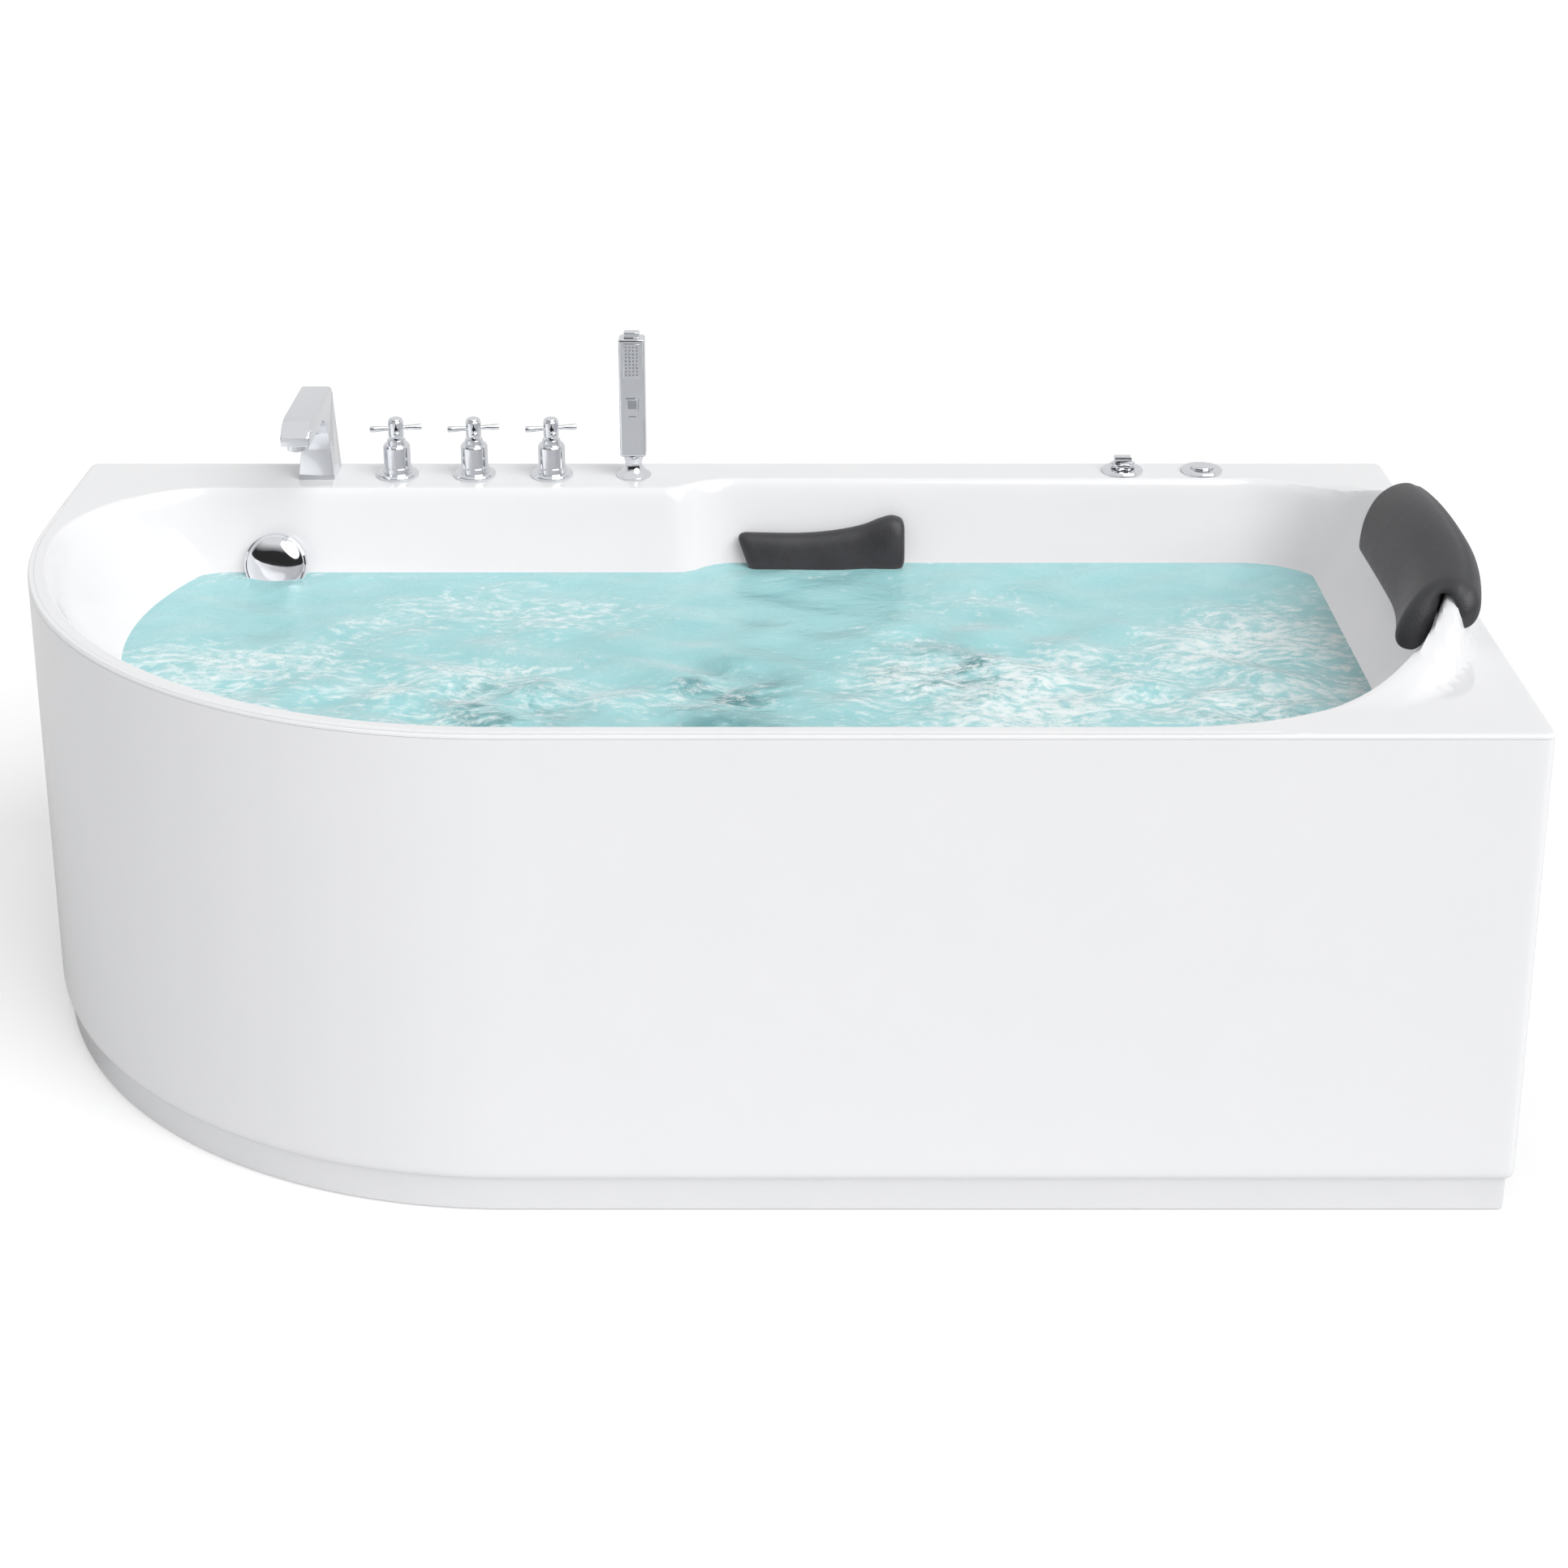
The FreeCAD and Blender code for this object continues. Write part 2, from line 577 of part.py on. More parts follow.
def headrest():
    """A soft pad that hangs over the hump's crest. Its section is drawn in XZ."""
    crest = deck_height + hump_height + pad_thickness
    inner = brim_right - 45.0
    outer = brim_right + hump_spread + 8.0
    pts = [V(inner, 0, deck_height - 2), V(inner + 6, 0, deck_height + 50), V(inner + 34, 0, crest - 14),
           V(brim_right + 15, 0, crest - 2), V(outer - 8, 0, crest - 8), V(outer, 0, crest - 26),
           V(outer - 3, 0, crest - 46)]
    edges = [Part.Arc(*pts[0:3]).toShape(), Part.Arc(*pts[2:5]).toShape(), Part.Arc(*pts[4:7]).toShape(),
             Part.LineSegment(pts[6], V(brim_right, 0, crest - 46)).toShape(),
             Part.LineSegment(V(brim_right, 0, crest - 46), V(brim_right, 0, deck_height - 2)).toShape(),
             Part.LineSegment(V(brim_right, 0, deck_height - 2), pts[0]).toShape()]
    section = Part.Face(Part.Wire(edges))
    pad = section.extrude(V(0, pad_rear - pad_front, 0))
    pad.translate(V(0, pad_front, 0))
    ends = Part.makeBox(2 * end_deck + 60, pad_rear - pad_front, 200, V(inner, pad_front, deck_height - 50))
    uprights = [e for e in ends.Edges if abs(e.tangentAt(e.FirstParameter).z) > 0.9]
    pad = pad.common(ends.makeFillet(pad_end_round, uprights))
    crown_r = (hump_half ** 2 + hump_height ** 2) / (2 * hump_height)
    crown = cyl(crown_r + pad_thickness, length, V(0, hump_y, deck_height + hump_height - crown_r), X)
    body = hump(fit_gap, 1.0).cut(above_brim(-fit_gap))
    notch = cyl(notch_radius, 2 * end_deck, V(brim_right - 30, pad_front - notch_radius / 2, notch_z), X)
    pad = pad.common(crown).cut(body).cut(notch)
    peg_foot = crest - pad_thickness - peg_length
    pegs = [prism(peg_r, peg_length + pad_thickness / 2, V(hump_crest_x, y, peg_foot)) for y in pad_peg_y]
    return fused([pad.Solids[0]] + pegs)


def grip_outline(shrink, y):
    """The bent outline of the grip, seen from the front: two long curves and two round ends."""
    long_r, thick = grip_bend, grip_wide / 2 - shrink
    middle = grip_start + grip_length / 2 - long_r * math.sin(math.radians(grip_tilt))
    centre = V(middle, y, grip_peg_z + long_r)
    half = math.degrees((grip_length / 2 - 0.3 * grip_wide - shrink) / long_r)
    tip = half + math.degrees(thick * 0.6 / long_r)

    def at(r, angle):
        t = math.radians(angle + grip_tilt)
        return centre + V(r * math.sin(t), 0, -r * math.cos(t))

    pts = [at(long_r - thick, a) for a in (-half, 0, half)]
    pts += [at(long_r + thick, a) for a in (half, 0, -half)]
    ends = [at(long_r, tip), at(long_r, -tip)]
    arcs = [Part.Arc(pts[0], pts[1], pts[2]), Part.Arc(pts[2], ends[0], pts[3]),
            Part.Arc(pts[3], pts[4], pts[5]), Part.Arc(pts[5], ends[1], pts[0])]
    return Part.Wire([a.toShape() for a in arcs])


def grip():
    """The soft hand grip on the narrow deck's wall: a bent pad with drawn-in sides and two pegs."""
    y, out = wall_point(grip_peg_z, "rear")
    layers = [(0, 0), (0, -grip_thickness * 0.6), (grip_wide * 0.14, -grip_thickness)]
    pad = Part.makeLoft([grip_outline(shrink, depth) for shrink, depth in layers], True, True)
    pegs = [prism(peg_r, peg_length + grip_thickness / 2, V(x, -grip_thickness / 2, grip_peg_z), Y)
            for x in grip_peg_x]
    pad = fused([pad] + pegs)
    pad.rotate(V(0, 0, grip_peg_z), X, -math.degrees(math.atan2(-out.z, out.y)))
    pad.translate(V(0, y, 0) - out * fit_gap)
    return pad


# ---- front panel, frame and feet ---------------------------------------------------------------
def front_apron():
    top = deck_height - shell_wall - fit_gap
    inner = toe_depth + panel_wall
    skin = deck_slab(0, toe_height, top).cut(deck_slab(panel_wall, toe_height, top))
    shelf = deck_slab(0, toe_height, toe_height + panel_wall)
    edge = [e for e in shelf.Edges if max(v.Z for v in e.Vertexes) < toe_height + 0.01]
    shelf = shelf.makeChamfer(panel_round - 0.5, edge).cut(deck_slab(inner, toe_height, top))
    toe = deck_slab(toe_depth, panel_floor_gap, toe_height).cut(deck_slab(inner, panel_floor_gap, toe_height))
    foot = deck_slab(inner, panel_floor_gap, panel_floor_gap + panel_wall)
    foot = foot.cut(deck_slab(toe_depth + panel_flange, 0, toe_height))
    low = box(-right, right, -back, back, toe_height, toe_height + panel_round)
    low = low.cut(shelf)
    skin = skin.cut(low)
    ring_shape = fused([skin, shelf, toe, foot])
    behind = box(-right - 1, right + 1, back - panel_rear_gap, back + 1, 0, deck_height)
    beside = box(right - 2 * panel_flange, right + 1, -back + panel_return, back + 1, 0, deck_height)
    return ring_shape.cut(behind).cut(beside)


def tube(x0, x1, y0, y1, z0, z1, axis):
    """A square tube, open at both ends of its axis (0, 1 or 2)."""
    low, high = [x0, y0, z0], [x1, y1, z1]
    for i in range(3):
        if i != axis:
            low[i] += rail_wall
            high[i] -= rail_wall
    hollow = box(low[0], high[0], low[1], high[1], low[2], high[2])
    return box(x0, x1, y0, y1, z0, z1).cut(hollow)


def cross_front(i):
    return first_cross_start if i == 0 else -cross_reach


FEET = [(x, y) for i, x in enumerate(cross_x) for y in (first_foot_y if i == 0 else -foot_line, foot_line)]


def cross_rails():
    h = rail_size / 2
    out = []
    for i, x in enumerate(cross_x):
        rail = tube(x - h, x + h, cross_front(i), cross_reach, cross_z, rail_z, 1)
        holes = [prism(stud_r + fit_gap, rail_size / 2, V(x, y, cross_z - 1)) for fx, y in FEET if fx == x]
        out.append(rail.cut(holes))
    return group(out)


def uprights():
    h = post_size / 2
    top = deck_height - shell_wall - fit_gap
    spots = [(x, post_line) for x in cross_x] + [(cross_x[-1], -post_line)]
    return group([tube(x - h, x + h, y - h, y + h, rail_z, top, 2) for x, y in spots])


def foot_pad(x, y):
    return prism(foot_pad_r, foot_pad_h, V(x, y, 0), sides=12)


def feet():
    z0 = foot_pad_h
    top = cross_z + rail_wall + stud_in_tube
    studs, nuts = [], []
    for x, y in FEET:
        studs.append(prism(stud_r, top - z0, V(x, y, z0)))
        at = V(x, y, cross_z - nut_height)
        nuts.append(hexagon(nut_across, nut_height, at).cut(prism(stud_r + running_gap, nut_height, at)))
    return group(studs), group(nuts)


def apron_brackets():
    """Angles from the frame to the panel's inner face."""
    face = -back + panel_wall + fit_gap
    w, t = bracket_wide / 2, bracket_thick
    out = []
    for x in cross_x[1:]:
        x = x if x < cross_x[-1] else x - rail_size - w - 1
        z = rail_z if x == cross_x[1] else None
        plate = box(x - w, x + w, face, face + t, rail_z + t - bracket_tall, rail_z + t)
        leg = box(x - w, x + w, face, face + bracket_leg, rail_z, rail_z + t)
        if z is None:
            leg = box(x - w, cross_x[-1] + w, face, face + bracket_leg, rail_z, rail_z + t)
            clear = post_size / 2 + fit_gap
            leg = leg.cut(box(cross_x[-1] - clear, cross_x[-1] + w, -post_line - clear, 0, 0, deck_height))
        out.append(plate.fuse(leg).removeSplitter())
    left = -right + panel_wall + fit_gap
    plate = box(left, left + t, rail_y, rail_y + 2 * w, board_z + t - bracket_tall, board_z + t)
    arm = box(left, cross_x[0], rail_y, rail_y + 2 * w, board_z, board_z + t)
    return group(out + [plate.fuse(arm).removeSplitter()])


# ---- taps --------------------------------------------------------------------------------------
deck_top = deck_height + fit_gap    # fittings sit this close to the deck


def tail(x):
    """The threaded tail of a deck fitting, with a cross bore for the mixing tube."""
    stem = prism(tail_r, tail_length, V(x, tap_line, deck_top - tail_length), sides=12)
    return stem.cut(prism(supply_r + running_gap, 4 * tail_r, V(x - 2 * tail_r, tap_line, supply_z), X))


def supply_spigot(x):
    """The male end for the building's supply, under a hot or cold valve."""
    return cyl(inlet_r, inlet_length, V(x, tap_line, deck_top - tail_length - inlet_length))


def valve_body(x):
    at = V(x, tap_line, deck_top)
    body = [cyl(valve_flange_r, valve_flange_h, at), cyl(valve_body_r, valve_body_h, at),
            cyl(valve_neck_r, valve_top, at)]
    shape = fused(body).cut(prism(cartridge_r + running_gap, valve_top, at))
    ends = [supply_spigot(x)] if x != valve_x[-1] else []
    return fused([shape, tail(x)] + ends)


def cartridge(x):
    at = V(x, tap_line, deck_top)
    return prism(cartridge_r, valve_top, at).cut(bore(spindle_r + running_gap, valve_top, at))


def cross_handle(x):
    """Hub and four round arms on a spindle that turns in the cartridge."""
    at = V(x, tap_line, deck_top)
    profile = [(0, 4), (spindle_r, 4), (spindle_r, handle_base), (handle_hub_r, handle_base),
               (handle_hub_r, handle_top), (0, handle_top)]
    arms = []
    for i in range(2):
        t = math.radians(arm_turn + 90 * i)
        along = V(math.cos(t), math.sin(t), 0)
        arms.append(prism(arm_r, arm_span, at + V(0, 0, arm_z) - along * (arm_span / 2), along))
    return fused([turned(profile, at)] + arms)


def spout():
    """A bridge spout: a column on the deck that carries a flat neck out over the basin."""
    top = deck_height + spout_top
    y0 = tap_line - spout_reach
    rear = tap_line + 41
    col = tap_line - 20
    edges = [
        Part.LineSegment(V(0, rear, deck_top), V(0, rear - 4, top - 30)).toShape(),
        Part.Arc(V(0, rear - 4, top - 30), V(0, rear - 13, top - 9), V(0, rear - 36, top)).toShape(),
        Part.LineSegment(V(0, rear - 36, top), V(0, y0 + 41, top)).toShape(),
        Part.Arc(V(0, y0 + 41, top), V(0, y0 + 16, top - 5), V(0, y0, top - 18)).toShape(),
        Part.LineSegment(V(0, y0, top - 18), V(0, y0, top - 31)).toShape(),
        Part.LineSegment(V(0, y0, top - 31), V(0, y0 + 40, top - 31)).toShape(),
        Part.Arc(V(0, y0 + 40, top - 31), V(0, y0 + 104, top - 28), V(0, col + 8, top - 78)).toShape(),
        Part.LineSegment(V(0, col + 8, top - 78), V(0, col, deck_top)).toShape(),
        Part.LineSegment(V(0, col, deck_top), V(0, rear, deck_top)).toShape(),
    ]
    side = Part.Face(Part.Wire(edges)).extrude(V(spout_base_w, 0, 0))
    side.translate(V(spout_x - spout_base_w / 2, 0, 0))
    w, n = spout_base_w / 2, spout_w / 2
    front = [V(-w, 0, 0), V(w, 0, 0), V(n, 0, 50), V(n, 0, spout_top + 5), V(-n, 0, spout_top + 5),
             V(-n, 0, 50), V(-w, 0, 0)]
    front = Part.Face(Part.makePolygon(front)).extrude(V(0, width, 0))
    front.translate(V(spout_x, 0, deck_height))
    shape = side.common(front)
    mouth = prism(aerator_r - 3, 14, V(spout_x, y0 + 20, top - 31))
    return fused([shape.cut(mouth), tail(spout_x)])


def aerator():
    at = V(spout_x, tap_line - spout_reach + 20, deck_height + spout_top - 31)
    sleeve = prism(aerator_r, aerator_h, at - V(0, 0, aerator_h), sides=16)
    neck = prism(aerator_r - 3.1, 10, at)
    return fused([sleeve, neck]).cut(prism(aerator_r - 5, 30, at - V(0, 0, aerator_h + 5)))


def mixing_tube():
    start = spout_x + 2
    long, at = valve_x[-1] + tail_r + 6 - start, V(start, tap_line, supply_z)
    return prism(supply_r, long, at, X).cut(prism(supply_r - 2, long, at, X))


def handset_holder():
    at = V(holder_x, tap_line, deck_top)
    profile = [(0, 0), (holder_base_r, 0), (holder_waist_r, holder_h * 0.6), (holder_top_r, holder_h * 0.75),
               (holder_top_r, holder_h), (0, holder_h)]
    under = at - V(0, 0, tail_length)
    whole = fused([lathe(profile, at), prism(tail_r, tail_length + 1, under, sides=12)])
    return whole.cut(bore(handset_tail_r + running_gap, tail_length + holder_h, under))


def handset():
    """A slim upright hand shower; its spray face and button look to the front."""
    z0 = deck_top + holder_h + fit_gap
    w, d = handset_w / 2, handset_d / 2
    body = box(-w, w, -d, d, 0, handset_h - 8)
    rim = [e for e in body.Edges if abs(e.tangentAt(e.FirstParameter).z) > 0.9 or
           min(v.Z for v in e.Vertexes) > handset_h - 9]
    body = body.makeChamfer(3.0, rim)
    cap = box(-w * 0.6, w * 0.6, -d * 0.5, d * 0.5, handset_h - 9, handset_h)
    spray = box(-11, 11, -d - 1.5, -d + 1, handset_h - 62, handset_h - 14)
    pocket = handset_button / 2 + fit_gap
    window = box(-pocket, pocket, -d - 1, -d + handset_travel + 5, handset_button_z - pocket,
                 handset_button_z + pocket)
    stem = cyl(handset_tail_r, handset_tail + 1, V(0, 0, -handset_tail))
    shape = fused([body, cap, spray, stem]).cut(window)
    shape.translate(V(holder_x, tap_line, z0))
    return shape


def handset_push():
    z0 = deck_top + holder_h + fit_gap
    h, d = handset_button / 2, handset_d / 2
    deep = -d + 4.7 - handset_travel - fit_gap
    key = box(-h, h, -d - 2, deep, handset_button_z - h, handset_button_z + h)
    key.translate(V(holder_x, tap_line, z0))
    return key


def handset_hose():
    """The hose under the deck, from the holder down in a loop to the last valve."""
    start = deck_top - tail_length
    low = start - hose_drop
    points = [V(holder_x, tap_line, start), V(holder_x, tap_line, low), V(valve_x[-1], tap_line, low),
              V(valve_x[-1], tap_line, start)]
    return pipe(points, hose_r, 45.0)


def deck_nuts():
    z = deck_height - shell_wall - fit_gap - deck_nut_h
    spots = [V(x, tap_line, z) for x in valve_x + [spout_x, holder_x]]
    return group([hexagon(2 * deck_nut_r, deck_nut_h, at).cut(bore(tail_r + running_gap, deck_nut_h, at))
                  for at in spots])


# ---- deck controls -----------------------------------------------------------------------------
def control_disc(x):
    at = V(x, control_line, deck_top)
    return ring(control_disc_r, button_r + fit_gap, control_disc_h, at)


def control_body(x, clear):
    """The part of a deck control under the deck: a cup held by its own flange nut."""
    top = deck_top - fit_gap / 2
    at = V(x, control_line, top - control_body_h)
    z = deck_height - shell_wall - fit_gap - deck_nut_h
    nut = hexagon(2 * control_body_r + 6, deck_nut_h, V(x, control_line, z))
    cup = prism(control_body_r, control_body_h, at).fuse(nut)
    inside = bore(clear, control_body_h, at + V(0, 0, 14))
    stem_hole = bore(spindle_r + running_gap, control_body_h, at + V(0, 0, 2))
    return cup.cut(inside).cut(stem_hole).removeSplitter()


def air_knob():
    """Lobed knob with a raised grip; its spindle turns in the regulator."""
    z = deck_top + control_disc_h + fit_gap
    hub = prism(air_knob_r - 2, air_knob_h, V(0, 0, 0), sides=12)
    lobe_r = 6.0
    lobes = []
    for i in range(6):
        t = math.radians(60 * i)
        lobes.append(prism(lobe_r, air_knob_h, V(math.cos(t), math.sin(t), 0) * (air_knob_r - lobe_r)))
    outline = [V(-12, -7, 0), V(12, -7, 0), V(9, 0, 0), V(12, 7, 0), V(-12, 7, 0), V(-9, 0, 0), V(-12, -7, 0)]
    bar = Part.Face(Part.makePolygon(outline)).extrude(V(0, 0, air_grip_h))
    bar.translate(V(0, 0, air_knob_h - 0.5))
    stem = cyl(spindle_r, control_body_h + control_disc_h - 2, V(0, 0, -control_body_h - control_disc_h + 2))
    shape = fused([hub] + lobes + [bar, stem])
    shape.translate(V(air_x, control_line, z))
    return shape


def on_button():
    top = deck_top + control_disc_h + button_proud
    low = deck_top - control_body_h * 0.3
    cap = cyl(button_r, top - low, V(button_x, control_line, low))
    stem_low = deck_top - control_body_h + button_travel + 2
    return fused([cap, prism(spindle_r, low - stem_low + 1, V(button_x, control_line, stem_low))])


# ---- jets, suction and their pipes -------------------------------------------------------------
def spot(x, z, side):
    """(point on the basin's face, direction out through the wall, wall thickness) of a fitting."""
    y, out = wall_point(z, side)
    return V(x, y, z), out, wall_thickness(z, side)


def jet_parts(x, side):
    """The moulded body behind the wall, its nut and the face inside the basin."""
    at, out, t = spot(x, jet_z, side)
    r = jet_hole_r - fit_gap
    start = t + 2 * fit_gap + jet_nut_h
    turn = FreeCAD.Rotation(Z, out)
    block = box(-jet_block, jet_block, -jet_block, jet_block, start, jet_depth)
    block.Placement = FreeCAD.Placement(at, turn)
    c = at + out * water_depth
    lug = box(c.x - 7, c.x + 7, c.y - 7, c.y + 7, c.z + jet_block * 0.6, c.z + air_rise - air_r - fit_gap)
    body = fused([prism(r, start + 1, at, out, 12), block, lug])
    body = body.cut(prism(jet_bore_r, 22, at - out, out))
    body = body.cut(prism(water_r + running_gap, 80, c - X * 40, X))
    nut = hexagon(2 * jet_nut_r, jet_nut_h, at + out * (t + fit_gap), out)
    nut = nut.cut(prism(r + running_gap, 60, at, out, 12))
    flange = cyl(jet_flange_r, jet_flange_h - fit_gap, at - out * jet_flange_h, out)
    sleeve = prism(jet_bore_r - fit_gap, 9, at - out, out)
    face = fused([flange, sleeve]).cut(prism(nozzle_r + 0.8, 40, at - out * 20, out))
    return body, nut, face


def jet_nozzle(x, side):
    """A swivelling eyeball with a short snout."""
    at, out, t = spot(x, jet_z, side)
    small, snout, inner = nozzle_r * 0.7, -jet_flange_h - 4, 7.0
    ball = lathe([(0, snout), (small, snout), (nozzle_r, -3), (nozzle_r, 3), (small, inner), (0, inner)],
                 at, out, 8)
    return ball.cut(prism(nozzle_hole_r, inner - snout + 2, at + out * (snout - 1), out))


def tee_points():
    """The water line's points at a jet of each side: front, tap side and rear."""
    return {side: spot(0, jet_z, side)[0] + spot(0, jet_z, side)[1] * water_depth
            for side in ("front", "tap", "rear")}


def line_route(rise, end_x):
    """The water or air line: along the front, round the right end and back along the rear."""
    p = tee_points()
    z = V(0, 0, rise)
    reach = 36.0
    return [V(jet_x[0] - reach, p["front"].y, p["front"].z) + z,
            V(end_x - 90, p["front"].y, p["front"].z) + z,
            V(end_x, p["front"].y + 90, p["front"].z) + z,
            V(end_x, p["rear"].y - 44, p["front"].z) + z,
            V(end_x - 44, p["rear"].y, p["rear"].z) + z,
            V(jet_x[1] - reach - 20, p["rear"].y, p["rear"].z) + z,
            V(jet_x[0] + reach + 20, p["tap"].y, p["tap"].z) + z,
            V(jet_x[0] - reach, p["tap"].y, p["tap"].z) + z]


def air_pipes():
    main = line_route(air_rise, loop_x)
    rear = main[5]
    top = deck_top - fit_gap / 2 - control_body_h
    drop = [V(air_x, control_line, top), V(air_x, control_line, rear.z),
            V(air_x, rear.y + air_r + fit_gap, rear.z)]
    return group([pipe(main, air_r, 30.0), pipe(drop, air_r, 30.0)])


def suction_fitting():
    at, out, t = spot(suction_x, suction_z, "front")
    r = suction_hole_r - fit_gap
    c = suction_outlet() - X * (r + 22)
    tube_shape = prism(r, t + fit_gap + 1, at, out, 12)
    housing = prism(r + 6, suction_depth - t - fit_gap, at + out * (t + fit_gap), out, 12)
    outlet = prism(suction_r + 2, r + 22, c, X)
    return fused([tube_shape, housing, outlet]).cut(prism(suction_r - 4, 25, at - out, out))


def suction_outlet():
    at, out, t = spot(suction_x, suction_z, "front")
    return at + out * (suction_depth * 0.5 + 3) + X * (suction_hole_r - fit_gap + 22)


def suction_cover():
    """The round grille over the suction opening."""
    at, out, t = spot(suction_x, suction_z, "front")
    r, h = suction_cover_r, suction_cover_h
    cover = cyl(r, h - fit_gap, at - out * h, out).cut(prism(r - 4, h, at - out * (h - 4), out, 16))
    slots = []
    for i in range(-2, 3):
        half = math.sqrt((r - 12) ** 2 - (i * 12) ** 2)
        slot = box(-half, half, i * 12 - 2.5, i * 12 + 2.5, -h - 1, -h + 5)
        slot.Placement = FreeCAD.Placement(at, FreeCAD.Rotation(Z, out))
        slots.append(slot)
    stud = prism(suction_r - 4.3, 10 + h, at - out * (h - 4), out).cut(
        prism(suction_r - 8, 40, at - out * (h - 4), out))
    return fused([cover.cut(slots), stud])


def suction_pipe():
    p = suction_outlet()
    turn = V(pump_x - 90, p.y, p.z)
    points = [p, turn, V(pump_x, volute_start - 160, pump_z), V(pump_x, volute_start - 20, pump_z)]
    return elbows(points, suction_r, 55.0)


# ---- overflow, drain and waste -----------------------------------------------------------------
def overflow_pipe_top():
    at, out, t = spot(overflow_x, overflow_z, "tap")
    p = at + out * (t + overflow_depth * 0.6)
    return V(p.x, p.y, p.z - overflow_body_r - 8)


def overflow_body():
    at, out, t = spot(overflow_x, overflow_z, "tap")
    r = overflow_hole_r - fit_gap
    start = t + fit_gap
    end = t + overflow_depth
    shape = fused([prism(r, start + 2, at - out * 1, out),
                   prism(overflow_body_r, end - start, at + out * start, out)])
    p = overflow_pipe_top()
    spigot = prism(overflow_pipe_r + 3, 26, p)
    cable = prism(cable_r + 3, 26, V(p.x + overflow_pipe_r + 8, p.y, p.z))
    inside = prism(r - 3, end - 8 + 2, at - out * 2, out)
    shape = fused([shape, spigot, cable]).cut(inside)
    return shape.cut(bore(spindle_r + running_gap, 60, at, out))


def overflow_bezel():
    at, out, t = spot(overflow_x, overflow_z, "tap")
    inner = overflow_hole_r + running_gap
    whole = prism(inner + 8, 5 - fit_gap, at - out * 5, out, 16)
    return whole.cut(prism(inner, 5, at - out * 5, out))


def overflow_knob():
    """The round knob over the overflow; turning it lifts the drain plug."""
    at, out, t = spot(overflow_x, overflow_z, "tap")
    r, h = knob_r, knob_rise
    cap = [(0, -h), (r * 0.5, -h), (r * 0.72, -h + 4), (r * 0.76, -h + 9), (r, -h + 12), (r, -knob_gap),
           (0, -knob_gap)]
    spindle = cyl(spindle_r, overflow_depth + t + knob_gap, at - out * (knob_gap + 1), out)
    return fused([lathe(cap, at, out, 24), spindle])


def drain_to_pipe():
    """Direction in plan from the drain towards the overflow pipe."""
    p = overflow_pipe_top()
    return V(p.x - drain_x, p.y - drain_y, 0).normalize()


def drain_body():
    top = floor_z - shell_wall - fit_gap
    collar_r, collar_z = drain_body_r + 6, top - 6
    cup = lathe([(0, drain_low), (drain_body_r, drain_low), (drain_body_r, collar_z), (collar_r, collar_z),
                 (collar_r, top), (0, top)], V(drain_x, drain_y, 0), sides=12)
    d = drain_to_pipe()
    side = prism(overflow_pipe_r + 3, drain_side_reach, V(drain_x, drain_y, drain_side_z), d)
    gland = prism(cable_r + 3, drain_side_reach - 5, V(drain_x, drain_y, cable_z), d)
    hollow = prism(drain_bore_r + 2.3, top - drain_low - 8, V(drain_x, drain_y, drain_low + 8), sides=12)
    return fused([cup, side, gland]).cut(hollow)


def drain_flange():
    h = drain_flange_h
    deep = 22.0
    at = V(drain_x, drain_y, floor_z)
    flange = cyl(drain_flange_r, h, at + V(0, 0, fit_gap))
    flange = flange.fuse(prism(drain_bore_r + 2, deep, at - V(0, 0, deep - 1), sides=12))
    flange = flange.cut(prism(drain_bore_r, 2 * deep, at - V(0, 0, deep), sides=12))
    guide = box(-drain_bore_r - 0.5, drain_bore_r + 0.5, -6, 6, -deep + 1, -deep + 9)
    guide.translate(at)
    return fused([flange, guide]).cut(bore(spindle_r + running_gap, 60, V(drain_x, drain_y, floor_z - 40)))


def drain_plug():
    """The pop-up plug, closed at rest."""
    z = floor_z + drain_flange_h + 2 * fit_gap
    at = V(drain_x, drain_y, z)
    return fused([cyl(plug_r, 5, at), cyl(spindle_r, 35, at - V(0, 0, 34))])


def overflow_pipe():
    p, d = overflow_pipe_top(), drain_to_pipe()
    end = V(drain_x, drain_y, drain_side_z) + d * drain_side_reach
    return elbows([p, V(p.x, p.y, drain_side_z), end], overflow_pipe_r, 40.0)


def plug_cable():
    """The sheathed cable from the overflow knob's body to the drain."""
    p, d = overflow_pipe_top(), drain_to_pipe()
    start = V(p.x + overflow_pipe_r + 8, p.y, p.z)
    end = V(drain_x, drain_y, cable_z) + d * (drain_side_reach - 5)
    return pipe([start, V(start.x, start.y, cable_z), end], cable_r, 45.0)


def waste_trap():
    foot = trap_r * 2 + 2 * trap_bend
    high = trap_low + trap_rise
    mouth = V(drain_x, back - waste_end - spigot_length, high)
    rise_y = drain_y + foot
    points = [V(drain_x, drain_y, drain_low), V(drain_x, drain_y, trap_low), V(drain_x, rise_y, trap_low),
              V(drain_x, rise_y, high), mouth]
    return fused([elbows(points, trap_r, trap_bend), cyl(trap_r, spigot_length, mouth, Y)])


# ---- pump --------------------------------------------------------------------------------------
plate_top = board_z + plate_thickness


def around(turn, y):
    """The placement of a blade drawn along X and Z, turned about the shaft."""
    spin = FreeCAD.Rotation(Y, turn).multiply(FreeCAD.Rotation(X, -90))
    return FreeCAD.Placement(at_pump(y), spin)


def at_pump(y):
    return V(pump_x, y, pump_z)


